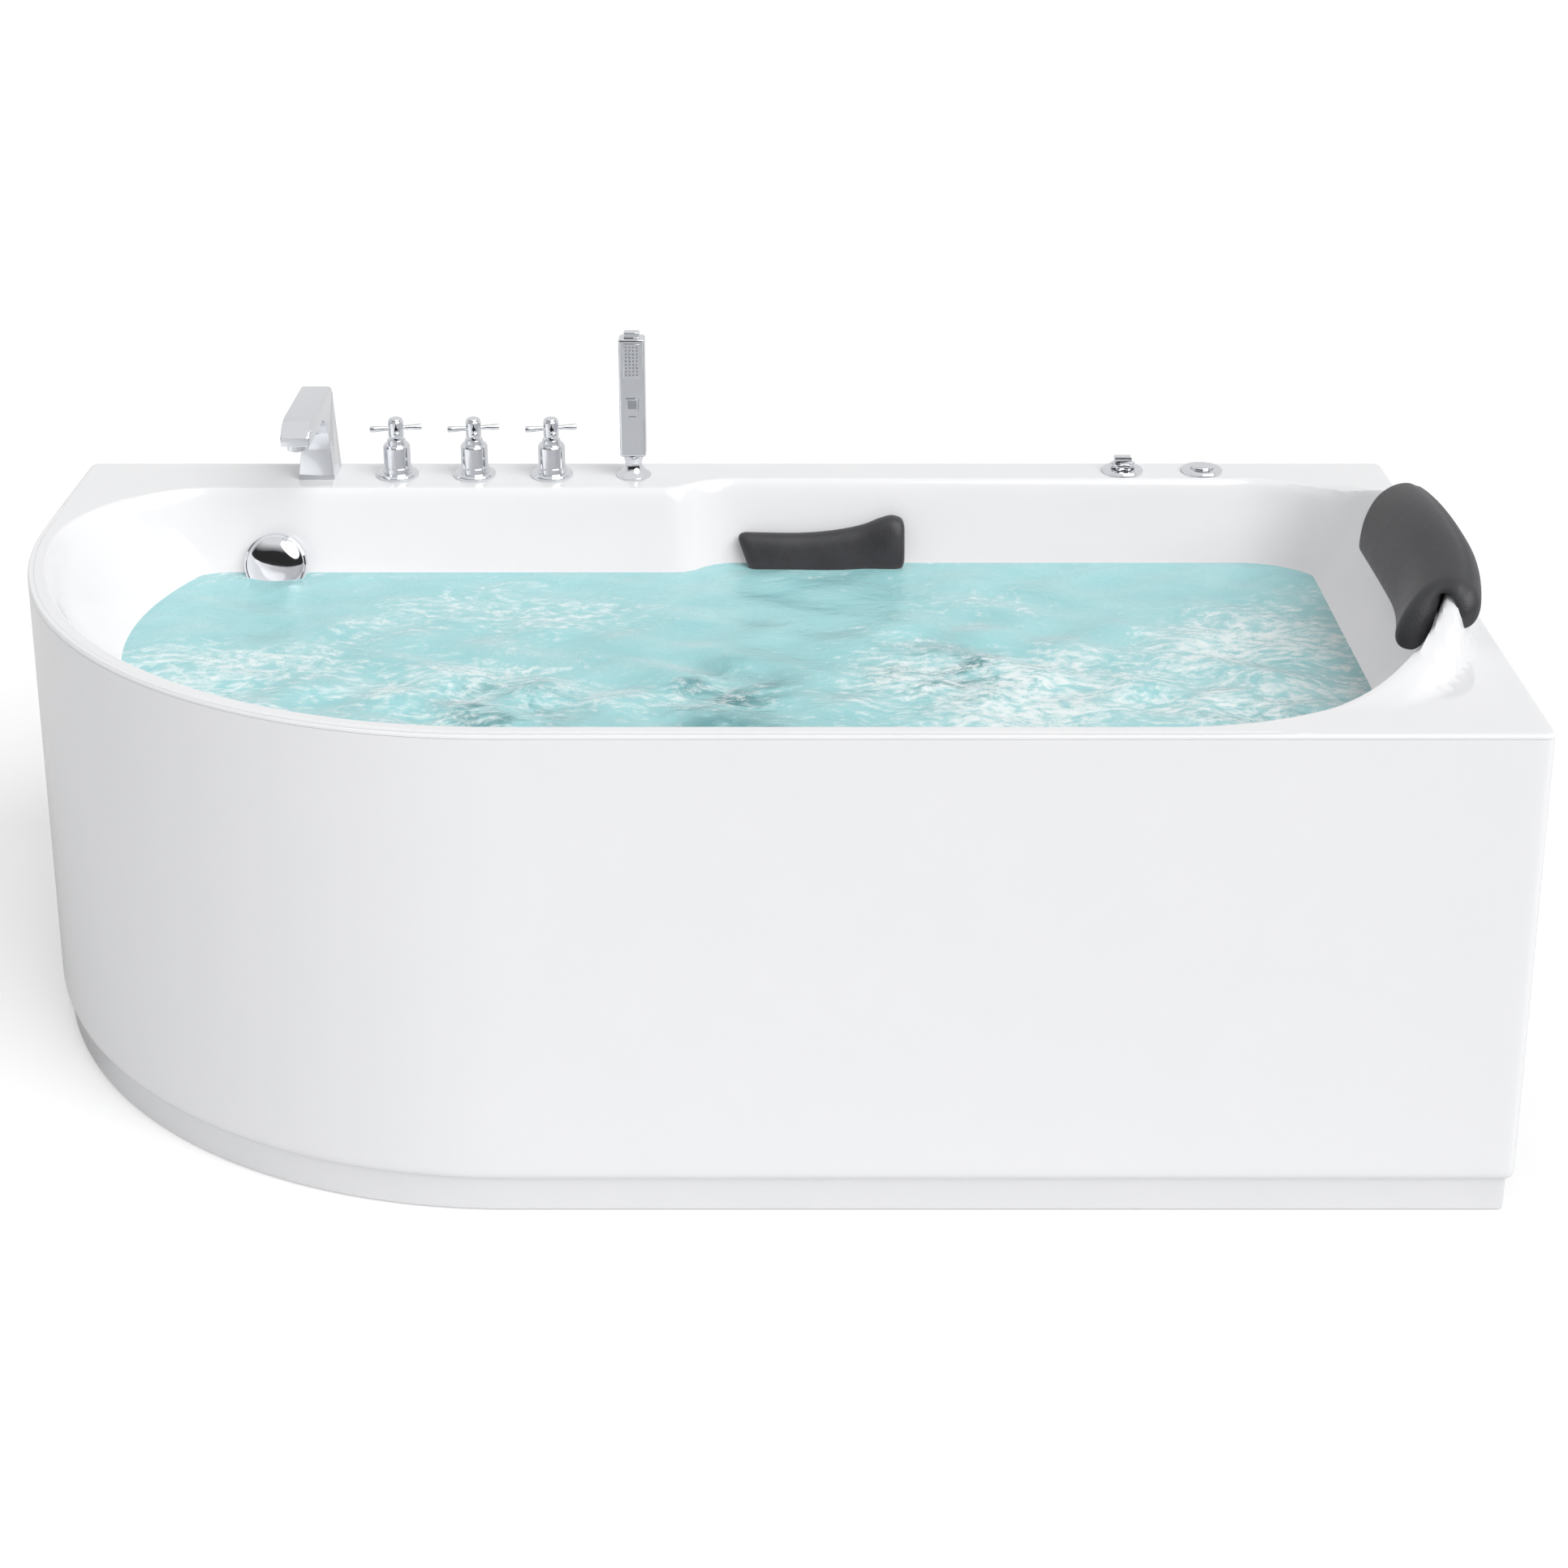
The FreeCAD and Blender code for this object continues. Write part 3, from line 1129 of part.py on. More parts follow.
def pump_volute():
    """Scroll casing: inlet in front, tangential outlet up to a tee on the water line."""
    tee_z = tee_points()["front"].z
    y0, y1 = volute_start, motor_start - fit_gap
    mid = (y0 + y1) / 2
    case = cyl(volute_r, y1 - y0, at_pump(y0), Y)
    inlet = prism(suction_r + 4, 22, at_pump(y0 - 20), Y)
    outlet = prism(water_r + 4, tee_z - pump_z, V(loop_x, mid, pump_z))
    tee = prism(water_r + 5, 44, V(loop_x, mid - 22, tee_z), Y)
    foot = box(pump_x - 30, pump_x + 30, mid - 12, mid + 12, plate_top, pump_z - volute_r * 0.8)
    body = fused([case, inlet, outlet, tee, foot])
    chamber = prism(chamber_r, y1 - y0 - chamber_wall + 1, at_pump(y0 + chamber_wall), Y, 16)
    eye = prism(suction_r - 3, 32, at_pump(y0 - 21), Y)
    return body.cut(chamber).cut(eye).cut(prism(water_r + running_gap, 60, V(loop_x, mid - 30, tee_z), Y))


def pump_motor():
    y0, y1 = motor_start, motor_end
    body = fused([cyl(motor_r, 14, at_pump(y0), Y), prism(motor_r - 5, y1 - y0, at_pump(y0), Y, 24),
                  cyl(motor_r, 14, at_pump(y1 - 14), Y)])
    ribs = []
    for i in range(12):
        rib = box(motor_r - 6, motor_r - 0.5, y0 + 14, y1 - 14, -1.5, 1.5)
        rib.rotate(V(0, 0, 0), Y, 30 * i + 15)
        rib.translate(V(pump_x, 0, pump_z))
        ribs.append(rib)
    feet_shapes = [box(pump_x - 45, pump_x + 45, y, y + pump_foot, plate_top, pump_z - motor_r * 0.6)
                   for y in (y0 + 15, y1 - 15 - pump_foot)]
    body = fused([body] + ribs + feet_shapes)
    return body.cut(bore(shaft_r + running_gap, y1 - y0 + 2, at_pump(y0 - 1), Y))


def pump_rotor():
    """Shaft with the impeller in the scroll and the cooling fan at the other end."""
    y0 = volute_start + chamber_wall + 4
    shaft = cyl(shaft_r, fan_cover_end - 14 - y0, at_pump(y0), Y)
    hub = prism(impeller_r, 4, at_pump(motor_start - 14), Y, 16)
    blades = []
    for i in range(6):
        blade = box(shaft_r - 1, impeller_r, -1.5, 1.5, 0, motor_start - 14 - y0 - 8)
        blade.Placement = around(60 * i, y0 + 8)
        blades.append(blade)
    fan_y = motor_end + 8
    fan = [prism(shaft_r + 8, 18, at_pump(fan_y), Y)]
    for i in range(7):
        vane = box(shaft_r, fan_r, -1.2, 1.2, 0, 16)
        vane.Placement = around(360 / 7 * i, fan_y + 1)
        fan.append(vane)
    return fused([shaft, hub] + blades + fan)


def pump_fan_cover():
    y0, y1 = motor_end + fit_gap, fan_cover_end
    cover = cyl(motor_r, y1 - y0, at_pump(y0), Y).cut(prism(motor_r - 3, y1 - y0 - 3, at_pump(y0), Y, 24))
    slots = []
    for i in range(-3, 4):
        half = math.sqrt((motor_r - 14) ** 2 - (i * 12) ** 2)
        z = pump_z + i * 12
        slots.append(box(pump_x - half, pump_x + half, y1 - 6, y1 + 1, z - 3, z + 3))
    return cover.cut(slots)


def pump_plate():
    plate = box(plate_x[0], plate_x[1], -rail_y - rail_size / 2, rail_y + rail_size / 2, board_z,
                board_z + plate_thickness)
    return plate.cut(box(plate_x[0] + 50, plate_x[1] - 50, motor_start + 50, motor_end - 50, 0, deck_height))


def terminal_box():
    """The motor's connection box with the air switch and the gland for the mains lead."""
    mid = terminal_y
    lid = box(pump_x - 20, pump_x + 40, mid - 40, mid + 40, pump_z + motor_r * 0.7, pump_z + motor_r + 36)
    lid = lid.makeChamfer(4, [e for e in lid.Edges if min(v.Z for v in e.Vertexes) > pump_z + motor_r + 35])
    lid = lid.cut(cyl(motor_r + fit_gap, 200, at_pump(mid - 100), Y))
    nipple = prism(4.5, 11, V(pump_x + 20, mid, pump_z + motor_r + 35))
    gland = prism(8, 14, V(pump_x + 39, mid - 15, pump_z + motor_r + 18), X)
    return fused([lid, nipple, gland])


def switch_tube():
    """The thin air tube from the deck button to the switch on the pump."""
    top = deck_top - fit_gap / 2 - control_body_h
    low = top - 125
    end = V(pump_x + 20, terminal_y, pump_z + motor_r + 46)
    points = [V(button_x, control_line, top), V(button_x, control_line, low),
              V(end.x, control_line - 125, low), V(end.x, end.y, low), end]
    return pipe(points, cable_r, 38.0)


# ---- the pieces --------------------------------------------------------------------------------
def save(name, shape):
    shape.exportStep(os.path.join("parts", name + ".step"))


studs, nuts = feet()
jets = [jet_parts(x, side) for side, x in JETS]
board = box(board_ends[0], board_ends[1], board_sides[0], board_sides[1], board_z, board_z + board_thickness)
h = rail_size / 2

save("tub_shell", make_shell())
save("headrest_pad", headrest())
save("grip_pad", grip())
save("front_apron", front_apron())
save("base_board", board.cut(prism(drain_body_r + 9, 200, V(drain_x, drain_y, 0), sides=16)))
save("frame_long_rails", group([tube(rail_start, rail_end, y - h, y + h, rail_z, board_z, 0)
                                for y in (-rail_y, rail_y)]))
save("frame_cross_rails", cross_rails())
save("frame_uprights", uprights())
save("foot_pads", group([foot_pad(x, y) for x, y in FEET]))
save("foot_studs", studs)
save("foot_nuts", nuts)
save("apron_brackets", apron_brackets())
save("spout", spout())
save("spout_aerator", aerator())
save("valve_bodies", group([valve_body(x) for x in valve_x]))
save("valve_cartridges", group([cartridge(x) for x in valve_x]))
for name, x in zip(("hot_handle", "cold_handle", "diverter_handle"), valve_x):
    save(name, cross_handle(x))
save("deck_nuts", deck_nuts())
save("mixing_tube", mixing_tube())
save("handset_holder", handset_holder())
save("handset", handset())
save("handset_button", handset_push())
save("handset_hose", handset_hose())
save("control_discs", group([control_disc(air_x), control_disc(button_x)]))
save("control_bodies", group([control_body(air_x, spindle_r + running_gap),
                              control_body(button_x, button_r + running_gap)]))
save("air_knob", air_knob())
save("on_button", on_button())
save("jet_bodies", group([j[0] for j in jets]))
save("jet_nuts", group([j[1] for j in jets]))
save("jet_faces", group([j[2] for j in jets]))
for i, (side, x) in enumerate(JETS):
    save("jet_nozzle_" + str(i + 1), jet_nozzle(x, side))
save("water_pipe", elbows(line_route(0, loop_x), water_r, 40.0))
save("air_pipes", air_pipes())
save("suction_fitting", suction_fitting())
save("suction_cover", suction_cover())
save("suction_pipe", suction_pipe())
save("overflow_body", overflow_body())
save("overflow_bezel", overflow_bezel())
save("overflow_knob", overflow_knob())
save("overflow_pipe", overflow_pipe())
save("plug_cable", plug_cable())
save("drain_body", drain_body())
save("drain_flange", drain_flange())
save("drain_plug", drain_plug())
save("waste_trap", waste_trap())
save("pump_volute", pump_volute())
save("pump_motor", pump_motor())
save("pump_rotor", pump_rotor())
save("pump_fan_cover", pump_fan_cover())
save("pump_plate", pump_plate())
save("terminal_box", terminal_box())
save("switch_tube", switch_tube())
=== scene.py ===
# %% [markdown]
# # A jetted bathtub for the corner of a room
# The bath is vacuum-formed acrylic: one white shell, one white wrap-round front panel, soft grey
# pads and chromed brass fittings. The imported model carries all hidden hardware, and this lesson
# adds the skins that are seen: the shell and panel are laid out as rings of points, the turned
# fittings are spun from profiles, and the pads are laid out in sections.

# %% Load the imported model
import math
import bpy
import numpy as np
from mathutils import Matrix, Vector


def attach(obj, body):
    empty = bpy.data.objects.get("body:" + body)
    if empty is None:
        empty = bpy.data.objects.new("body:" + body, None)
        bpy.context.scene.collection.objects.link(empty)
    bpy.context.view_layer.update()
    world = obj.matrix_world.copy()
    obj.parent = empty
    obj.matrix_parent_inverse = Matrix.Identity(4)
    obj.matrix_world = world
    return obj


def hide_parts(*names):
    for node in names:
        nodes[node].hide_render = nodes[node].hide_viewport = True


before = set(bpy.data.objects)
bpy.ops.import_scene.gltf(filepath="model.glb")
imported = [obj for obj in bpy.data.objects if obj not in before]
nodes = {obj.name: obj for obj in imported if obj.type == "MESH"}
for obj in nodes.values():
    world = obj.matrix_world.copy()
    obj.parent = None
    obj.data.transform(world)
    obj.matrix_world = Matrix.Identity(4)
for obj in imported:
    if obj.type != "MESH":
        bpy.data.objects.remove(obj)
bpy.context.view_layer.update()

MM = 0.001
print("nodes loaded:", len(nodes))

# %% [markdown]
# ## The camera
# The picture was taken from in front, a little above, with a long lens whose film plane was
# lowered, so the upright edges of the bath stay nearly upright. A small negative shift does this.
# A full shift would do it better, but then views from other sides would lose the bath.

# %% Camera
image_px = 1932.0
focal_px = 3270.0
camera_pitch = 17.45
camera_at = (0.067, -3.062, 1.808)
bpy.ops.object.camera_add(location=camera_at,
                          rotation=(math.radians(90.0 - camera_pitch), 0.0, 0.0))
camera = bpy.context.object
camera.data.lens = focal_px / image_px * camera.data.sensor_width
camera.data.shift_y = -0.25
bpy.context.scene.camera = camera
print("lens in mm:", round(camera.data.lens, 1))

# %% [markdown]
# ## The hand shower's hose
# Under the deck the hose hangs in one free loop from the shower's rest to the last valve. It is a
# smooth spline on four points, and it has no coil because both of its ends are fixed to the bath.
# The hose's thickness is set on each point, so that nothing larger than the hose is measured.

# %% Hose
hose_radius = 6.5
hose_route = [(-140.0, 399.0, 520.3), (-140.0, 399.0, 190.3), (-253.0, 399.0, 190.3),
              (-253.0, 399.0, 520.3)]
hose_curve = bpy.data.curves.new("shower_hose", "CURVE")
hose_curve.dimensions = "3D"
hose_curve.bevel_depth = 1.0
hose_curve.bevel_resolution = 6
hose_curve.resolution_u = 24
hose_line = hose_curve.splines.new("NURBS")
hose_line.points.add(len(hose_route) - 1)
for spot, (x, y, z) in zip(hose_line.points, hose_route):
    spot.co = (x * MM, y * MM, z * MM, 1.0)
    spot.radius = hose_radius * MM
hose_line.order_u = 3
hose_line.use_endpoint_u = True
hose = bpy.data.objects.new("shower_hose", hose_curve)
bpy.context.scene.collection.objects.link(hose)
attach(hose, "bath")
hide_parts("handset_hose")
print("hose points:", len(hose_line.points))

# %% [markdown]
# ## Small helpers for every piece
# Blender's operators work on what is selected, so every step starts by selecting one object
# alone. A finished piece has its place in its mesh, its origin at the frame's origin, and is
# shaded smooth except at edges that are sharper than an angle.

# %% Selecting and finishing
def only(obj):
    """Makes one object the only selected and active one."""
    bpy.ops.object.select_all(action="DESELECT")
    obj.select_set(True)
    bpy.context.view_layer.objects.active = obj
    return obj


def settled(obj, angle=35.0):
    """Puts the place of a piece into its mesh and shades it."""
    only(obj)
    bpy.ops.object.transform_apply(location=True, rotation=True, scale=True)
    bpy.ops.object.shade_smooth_by_angle(angle=math.radians(angle))
    return obj


def outward(obj):
    """Merges doubles and turns every face outwards."""
    only(obj)
    bpy.ops.object.mode_set(mode="EDIT")
    bpy.ops.mesh.select_all(action="SELECT")
    bpy.ops.mesh.remove_doubles(threshold=0.000005)
    bpy.ops.mesh.normals_make_consistent(inside=False)
    bpy.ops.object.mode_set(mode="OBJECT")
    return obj


def applied(obj, kind, **settings):
    """Adds one modifier with its settings and applies it."""
    only(obj)
    made = obj.modifiers.new(kind.lower(), kind)
    for key, value in settings.items():
        setattr(made, key, value)
    bpy.ops.object.modifier_apply(modifier=made.name)
    return obj


# %% [markdown]
# Alike parts are made once, copied and joined. A mesh can also be laid out from points, and a
# piece made upright at the origin can be stood anywhere with its axis along any direction.

# %% Joining, laying out, placing and copying
def joined(pieces, name):
    """Makes one object of several."""
    bpy.ops.object.select_all(action="DESELECT")
    for piece in pieces:
        piece.select_set(True)
    bpy.context.view_layer.objects.active = pieces[0]
    if len(pieces) > 1:
        bpy.ops.object.join()
    whole = bpy.context.object
    whole.name = name
    whole.data.name = name
    return whole


def mesh_object(name, points, faces, edges=()):
    """A mesh object from points in millimetres."""
    mesh = bpy.data.meshes.new(name)
    mesh.from_pydata([tuple(c * MM for c in p) for p in points], list(edges), faces)
    mesh.update()
    obj = bpy.data.objects.new(name, mesh)
    bpy.context.scene.collection.objects.link(obj)
    return obj


def placed(obj, at, along=(0.0, 0.0, 1.0)):
    """Stands a piece made at the origin on a point, with its axis along a direction."""
    spin = Vector((0, 0, 1)).rotation_difference(Vector(along)).to_matrix().to_4x4()
    move = Matrix.Translation(Vector(at) * MM)
    obj.data.transform(move @ spin)
    return obj


def copied(obj, name):
    """A copy with its own mesh."""
    twin = obj.copy()
    twin.data = obj.data.copy()
    twin.name = name
    twin.data.name = name
    bpy.context.scene.collection.objects.link(twin)
    return twin


print("a millimetre in metres:", MM)

# %% [markdown]
# Most bath fittings come from a lathe. Half of the profile is drawn as a line of points and spun
# about the axis, which gives even quads; a cylinder with loops would need many more steps.

# %% A turned form from its half profile
spin_steps = 64


def turned(name, profile, steps=spin_steps, round_edges=0.0, at=(0, 0, 0), along=(0, 0, 1)):
    """Spins (radius, height) points in millimetres about an axis and softens the edges."""
    points = [(r, 0.0, h) for r, h in profile]
    obj = mesh_object(name, points, [], [(i, i + 1) for i in range(len(points) - 1)])
    only(obj)
    bpy.ops.object.mode_set(mode="EDIT")
    bpy.ops.mesh.select_all(action="SELECT")
    bpy.ops.mesh.spin(steps=steps, angle=2 * math.pi, center=(0, 0, 0), axis=(0, 0, 1))
    bpy.ops.object.mode_set(mode="OBJECT")
    outward(obj)
    if round_edges:
        applied(obj, "BEVEL", width=round_edges * MM, segments=3, limit_method="ANGLE",
                angle_limit=math.radians(25))
    return settled(placed(obj, at, along))


print("steps of a full turn:", spin_steps)

# %% [markdown]
# Square parts start as a cube that is scaled between two corners. Its edges are bevelled, since a
# perfectly sharp edge never catches the light.

# %% A block with softened edges
edge_steps = 3


def block(name, low, high, soft):
    """A box between two corners in millimetres; its edges are rounded if soft isn't 0."""
    bpy.ops.object.select_all(action="DESELECT")
    middle = [(a + b) / 2 * MM for a, b in zip(low, high)]
    bpy.ops.mesh.primitive_cube_add(size=1.0, location=middle)
    obj = bpy.context.object
    obj.name = name
    obj.scale = [(b - a) * MM for a, b in zip(low, high)]
    settled(obj)
    if soft:
        applied(obj, "BEVEL", width=soft * MM, segments=edge_steps)
    return settled(obj)


print("facets of a rounded edge:", edge_steps)

# %% [markdown]
# ## Finishes
# Every finish starts from the real material. Colours are written as the screen shows them, and
# one function turns them to the linear values that the shader works in.

# %% Colour and node helpers
def linear(code):
    """An sRGB hex colour as a linear RGBA value."""
    out = []
    for i in (0, 2, 4):
        c = int(code[i:i + 2], 16) / 255
        out.append(c / 12.92 if c <= 0.04045 else ((c + 0.055) / 1.055) ** 2.4)
    return (*out, 1.0)


def add(tree, kind, settings=None, links=None):
    """Adds a node; settings name its attributes or inputs, links name what feeds an input."""
    made = tree.nodes.new(kind)
    for key, value in (settings or {}).items():
        if isinstance(key, str) and hasattr(made, key):
            setattr(made, key, value)
        else:
            made.inputs[key].default_value = value
    for key, source in (links or {}).items():
        tree.links.new(source, made.inputs[key])
    return made


print("middle grey on the screen is", round(linear("808080")[0], 3), "in the shader")

# %% [markdown]
# All finishes are built from the same few steps: a pattern in the object's own coordinates, a
# range for its values, a mix of two colours and a bump.

# %% Steps of a finish
def pattern(tree, kind, scale, source=None, **settings):
    """A noise or cell texture; its scale counts features per metre."""
    if source is None:
        source = add(tree, "ShaderNodeTexCoord").outputs["Object"]
    return add(tree, "ShaderNodeTex" + kind, {"Scale": scale, **settings}, {"Vector": source})


def noise(tree, scale, detail, source=None, roughness=0.5):
    """The value of a noise."""
    return pattern(tree, "Noise", scale, source, Detail=detail, Roughness=roughness).outputs["Fac"]


def ranged(tree, value, low, high, start=0.0, stop=1.0):
    """A value moved from one range to another."""
    return add(tree, "ShaderNodeMapRange", {"From Min": start, "From Max": stop,
                                            "To Min": low, "To Max": high},
               {"Value": value}).outputs[0]


def mixed(tree, share, low, high):
    """A mix of two colours, each a hex code or a value of the tree."""
    settings, links = {"data_type": "RGBA"}, {0: share}
    for key, colour in ((6, low), (7, high)):
        if isinstance(colour, str):
            settings[key] = linear(colour)
        else:
            links[key] = colour
    return add(tree, "ShaderNodeMix", settings, links).outputs[2]


def bumped(tree, value, strength, depth, under=None):
    """A bump of some metres' depth, over another bump if there is one."""
    links = {"Height": value} if under is None else {"Height": value, "Normal": under}
    return add(tree, "ShaderNodeBump", {"Strength": strength, "Distance": depth}, links).outputs[0]


def maths(tree, kind, a, b):
    """One sum with two values of the tree."""
    return add(tree, "ShaderNodeMath", {"operation": kind}, {0: a, 1: b}).outputs[0]


print("white on the screen is", linear("FFFFFF")[0], "in the shader")

# %% [markdown]
# A finish begins as an empty material and ends in the main shader, whose colour is either one hex
# code or a value of the tree.

# %% Beginning and end of a finish
def blank(name):
    """A new material with an empty node tree."""
    made = bpy.data.materials.new(name)
    made.use_nodes = True
    made.node_tree.nodes.clear()
    return made, made.node_tree


def finished(made, colour, rough, normal, **settings):
    """Ends a material with the main shader and gives it back."""
    tree, links = made.node_tree, {"Roughness": rough, "Normal": normal}
    if isinstance(colour, str):
        settings["Base Color"] = linear(colour)
    else:
        links["Base Color"] = colour
    shader = add(tree, "ShaderNodeBsdfPrincipled", settings, links)
    add(tree, "ShaderNodeOutputMaterial", links={"Surface": shader.outputs[0]})
    print("finish:", made.name)
    return made


print("materials so far:", len(bpy.data.materials))

# %% [markdown]
# Vacuum-formed acrylic sheet is a cast plastic with a hard, wet-looking gloss. Its surface is
# never quite flat: it swims a little over about ten centimetres, which bends reflections softly,
# and a very faint peel four millimetres wide keeps the gloss from looking like glass.

# %% Acrylic sheet, vacuum formed
def acrylic_sheet(name, code, gloss):
    """White acrylic: a clear gloss over a milky body, with the slight swim of formed sheet."""
    made, tree = blank(name)
    swim, peel = noise(tree, 9.0, 2.0), noise(tree, 260.0, 1.0)
    skin = bumped(tree, peel, 0.02, 0.0002, bumped(tree, swim, 0.05, 0.002))
    return finished(made, mixed(tree, swim, code, "F1F2F4"),
                    ranged(tree, swim, gloss - 0.015, gloss + 0.03), skin, IOR=1.49)


shell_acrylic = acrylic_sheet("acrylic_shell", "F7F7F8", 0.07)
panel_acrylic = acrylic_sheet("acrylic_panel", "F4F4F6", 0.16)

# %% [markdown]
# Chromed brass is polished, nickel plated and given a thin blue-white chrome layer. It is a
# mirror, so what the eye sees is the room; polishing marks and water spots dull it a little.
# The marks are drawn two millimetres wide, coarser than real ones, which are too fine to be seen
# from here. Bare brass, zinc plate, castings and the frame's tube are the same recipe, duller.

# %% Chrome plate and other metals
def metal(name, code, rough_low, rough_high, grain):
    """A metal mirror with faint marks."""
    made, tree = blank(name)
    marks = noise(tree, grain, 4.0)
    return finished(made, code, ranged(tree, marks, rough_low, rough_high),
                    bumped(tree, marks, 0.03, 0.0002), Metallic=1.0)


chrome = metal("chrome_plated_brass", "E4E6EA", 0.03, 0.10, 420.0)
bare_brass = metal("drawn_brass", "C9A45C", 0.22, 0.42, 300.0)
zinc_steel = metal("zinc_plated_steel", "BFC2C4", 0.28, 0.5, 500.0)
motor_casting = metal("die_cast_aluminium", "A9ACB0", 0.42, 0.62, 900.0)
frame_tube = metal("galvanised_steel_tube", "B4B8BA", 0.32, 0.55, 60.0)

# %% [markdown]
# Moulded plastics and rubber under the bath: rigid PVC pipe, ABS nuts, nylon and rubber feet.
# They are satin, a little uneven in colour, with a spark-eroded grain from the mould. The grain
# is drawn one to three millimetres wide, coarser than the real one, so that it can be seen.

# %% Moulded plastics
def moulded(name, low, high, rough, grain_mm, depth):
    """A moulded plastic: two near shades, a satin gloss and a fine mould grain."""
    made, tree = blank(name)
    cloud, grain = noise(tree, 14.0, 3.0), noise(tree, 1000.0 / grain_mm, 2.0)
    return finished(made, mixed(tree, cloud, low, high),
                    ranged(tree, grain, rough - 0.06, rough + 0.08),
                    bumped(tree, grain, depth, 0.0004), IOR=1.5)


white_pvc = moulded("rigid_pvc", "DADBD6", "E8E8E4", 0.38, 2.0, 0.15)
grey_abs = moulded("grey_abs", "8C9094", "A0A4A8", 0.45, 1.5, 0.2)
black_nylon = moulded("black_nylon", "1C1D1F", "2A2B2E", 0.42, 1.5, 0.25)
clear_hose = moulded("soft_pvc_hose", "C9CDCE", "DADDDD", 0.3, 3.0, 0.1)
nozzle_rubber = moulded("nozzle_silicone", "7F8286", "95989C", 0.5, 1.0, 0.1)

# %% [markdown]
# The board under the basin is a resin-bonded panel of pressed wood flakes. Cells eight
# millimetres wide in shades between two browns show the flakes; it is matt.

# %% Pressed board
flake_board, tree = blank("pressed_wood_board")
flakes = pattern(tree, "Voronoi", 120.0)
finished(flake_board, mixed(tree, flakes.outputs["Color"], "9C7A52", "C7A679"),
         ranged(tree, flakes.outputs["Distance"], 0.6, 0.85),
         bumped(tree, flakes.outputs["Distance"], 0.3, 0.0006))

# %% [markdown]
# The pads are self-skinning polyurethane foam: a dark grey skin cast against a leather-grained
# mould, so it has shallow pebbles two or three millimetres wide, fine creases and a satin sheen.

# %% Leather-grained foam skin
pad_skin, tree = blank("grained_foam_skin")
crease = noise(tree, 60.0, 6.0, None, 0.62)
pebble = pattern(tree, "Voronoi", 420.0).outputs["Distance"]
finished(pad_skin, mixed(tree, crease, "2D2D30", "3D3E42"), ranged(tree, crease, 0.36, 0.55),
         bumped(tree, pebble, 0.35, 0.0005, bumped(tree, crease, 0.25, 0.0012)), IOR=1.5)

# %% [markdown]
# ## Finishes for the hidden hardware
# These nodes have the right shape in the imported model, so they only get their finish. Every node
# gets chrome first, because most of the fittings that are seen are chromed.

# %% Finish by node
finish_of = {
    white_pvc: ["water_pipe", "suction_pipe", "jet_bodies", "suction_fitting", "waste_trap",
                "drain_body", "overflow_body", "overflow_pipe"],
    grey_abs: ["jet_nuts", "control_bodies"],
    clear_hose: ["air_pipes", "switch_tube", "handset_hose", "plug_cable"],
    black_nylon: ["foot_pads", "pump_volute", "pump_fan_cover", "terminal_box", "pump_rotor"],
    bare_brass: ["valve_cartridges", "deck_nuts", "mixing_tube"],
    motor_casting: ["pump_motor"],
    zinc_steel: ["foot_studs", "foot_nuts"],
    frame_tube: ["frame_long_rails", "frame_cross_rails", "frame_uprights", "apron_brackets",
                 "pump_plate"],
    flake_board: ["base_board"],
    shell_acrylic: ["tub_shell"],
    panel_acrylic: ["front_apron"],
    pad_skin: ["headrest_pad", "grip_pad"],
}


def dressed(obj, material):
    """Gives a mesh one finish."""
    obj.data.materials.clear()
    obj.data.materials.append(material)
    return obj


dressed(hose, clear_hose)
for node in nodes.values():
    dressed(node, chrome)
for material, names in finish_of.items():
    for name in names:
        dressed(nodes[name], material)
print("finishes given to nodes:", sum(len(names) for names in finish_of.values()))

# %% [markdown]
# Every new piece needs the same things: its finish, the body that it moves with, and the imported
# nodes that it stands for, which are hidden. One function does all of them.

# %% Fitting a new piece
def fitted(piece, material, body, stands_for=()):
    """Dresses a new piece, puts it on its body and hides the nodes that it stands for."""
    dressed(piece, material)
    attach(piece, body)
    if stands_for:
        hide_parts(*stands_for)
    print(piece.name, "faces:", len(piece.data.polygons))
    return piece


# %% [markdown]
# ## The plan of the bath
# Seen from above, the deck has one large round end and three tight corners; on a real bath this
# line is milled into the mould. It could be a curve object, but the same line is needed many
# times, each a little further in and with matching points, so it is laid out as points.

# %% Main sizes in millimetres and two ways to lay out points
right, back, deck_z = 900.0, 450.0, 600.0
end_r, corner_r = 650.0, 12.0
floor_z, wall = 170.0, 5.0


def arc_points(centre, r, start, stop, count):
    """Points on an arc, in millimetres and degrees."""
    turns = [math.radians(start + (stop - start) * i / count) for i in range(count + 1)]
    return [(centre[0] + r * math.cos(t), centre[1] + r * math.sin(t)) for t in turns]


def run_points(p, q, count):
    """Points between two points, without both ends."""
    return [(p[0] + (q[0] - p[0]) * i / count, p[1] + (q[1] - p[1]) * i / count)
            for i in range(1, count)]


print("deck in mm:", 2 * right, "by", 2 * back, "at", deck_z)

# %% [markdown]
# The deck's outline is four corners with straight runs between them. When it moves in, its
# corners get tighter but the number of points stays, so that two outlines can be bridged.

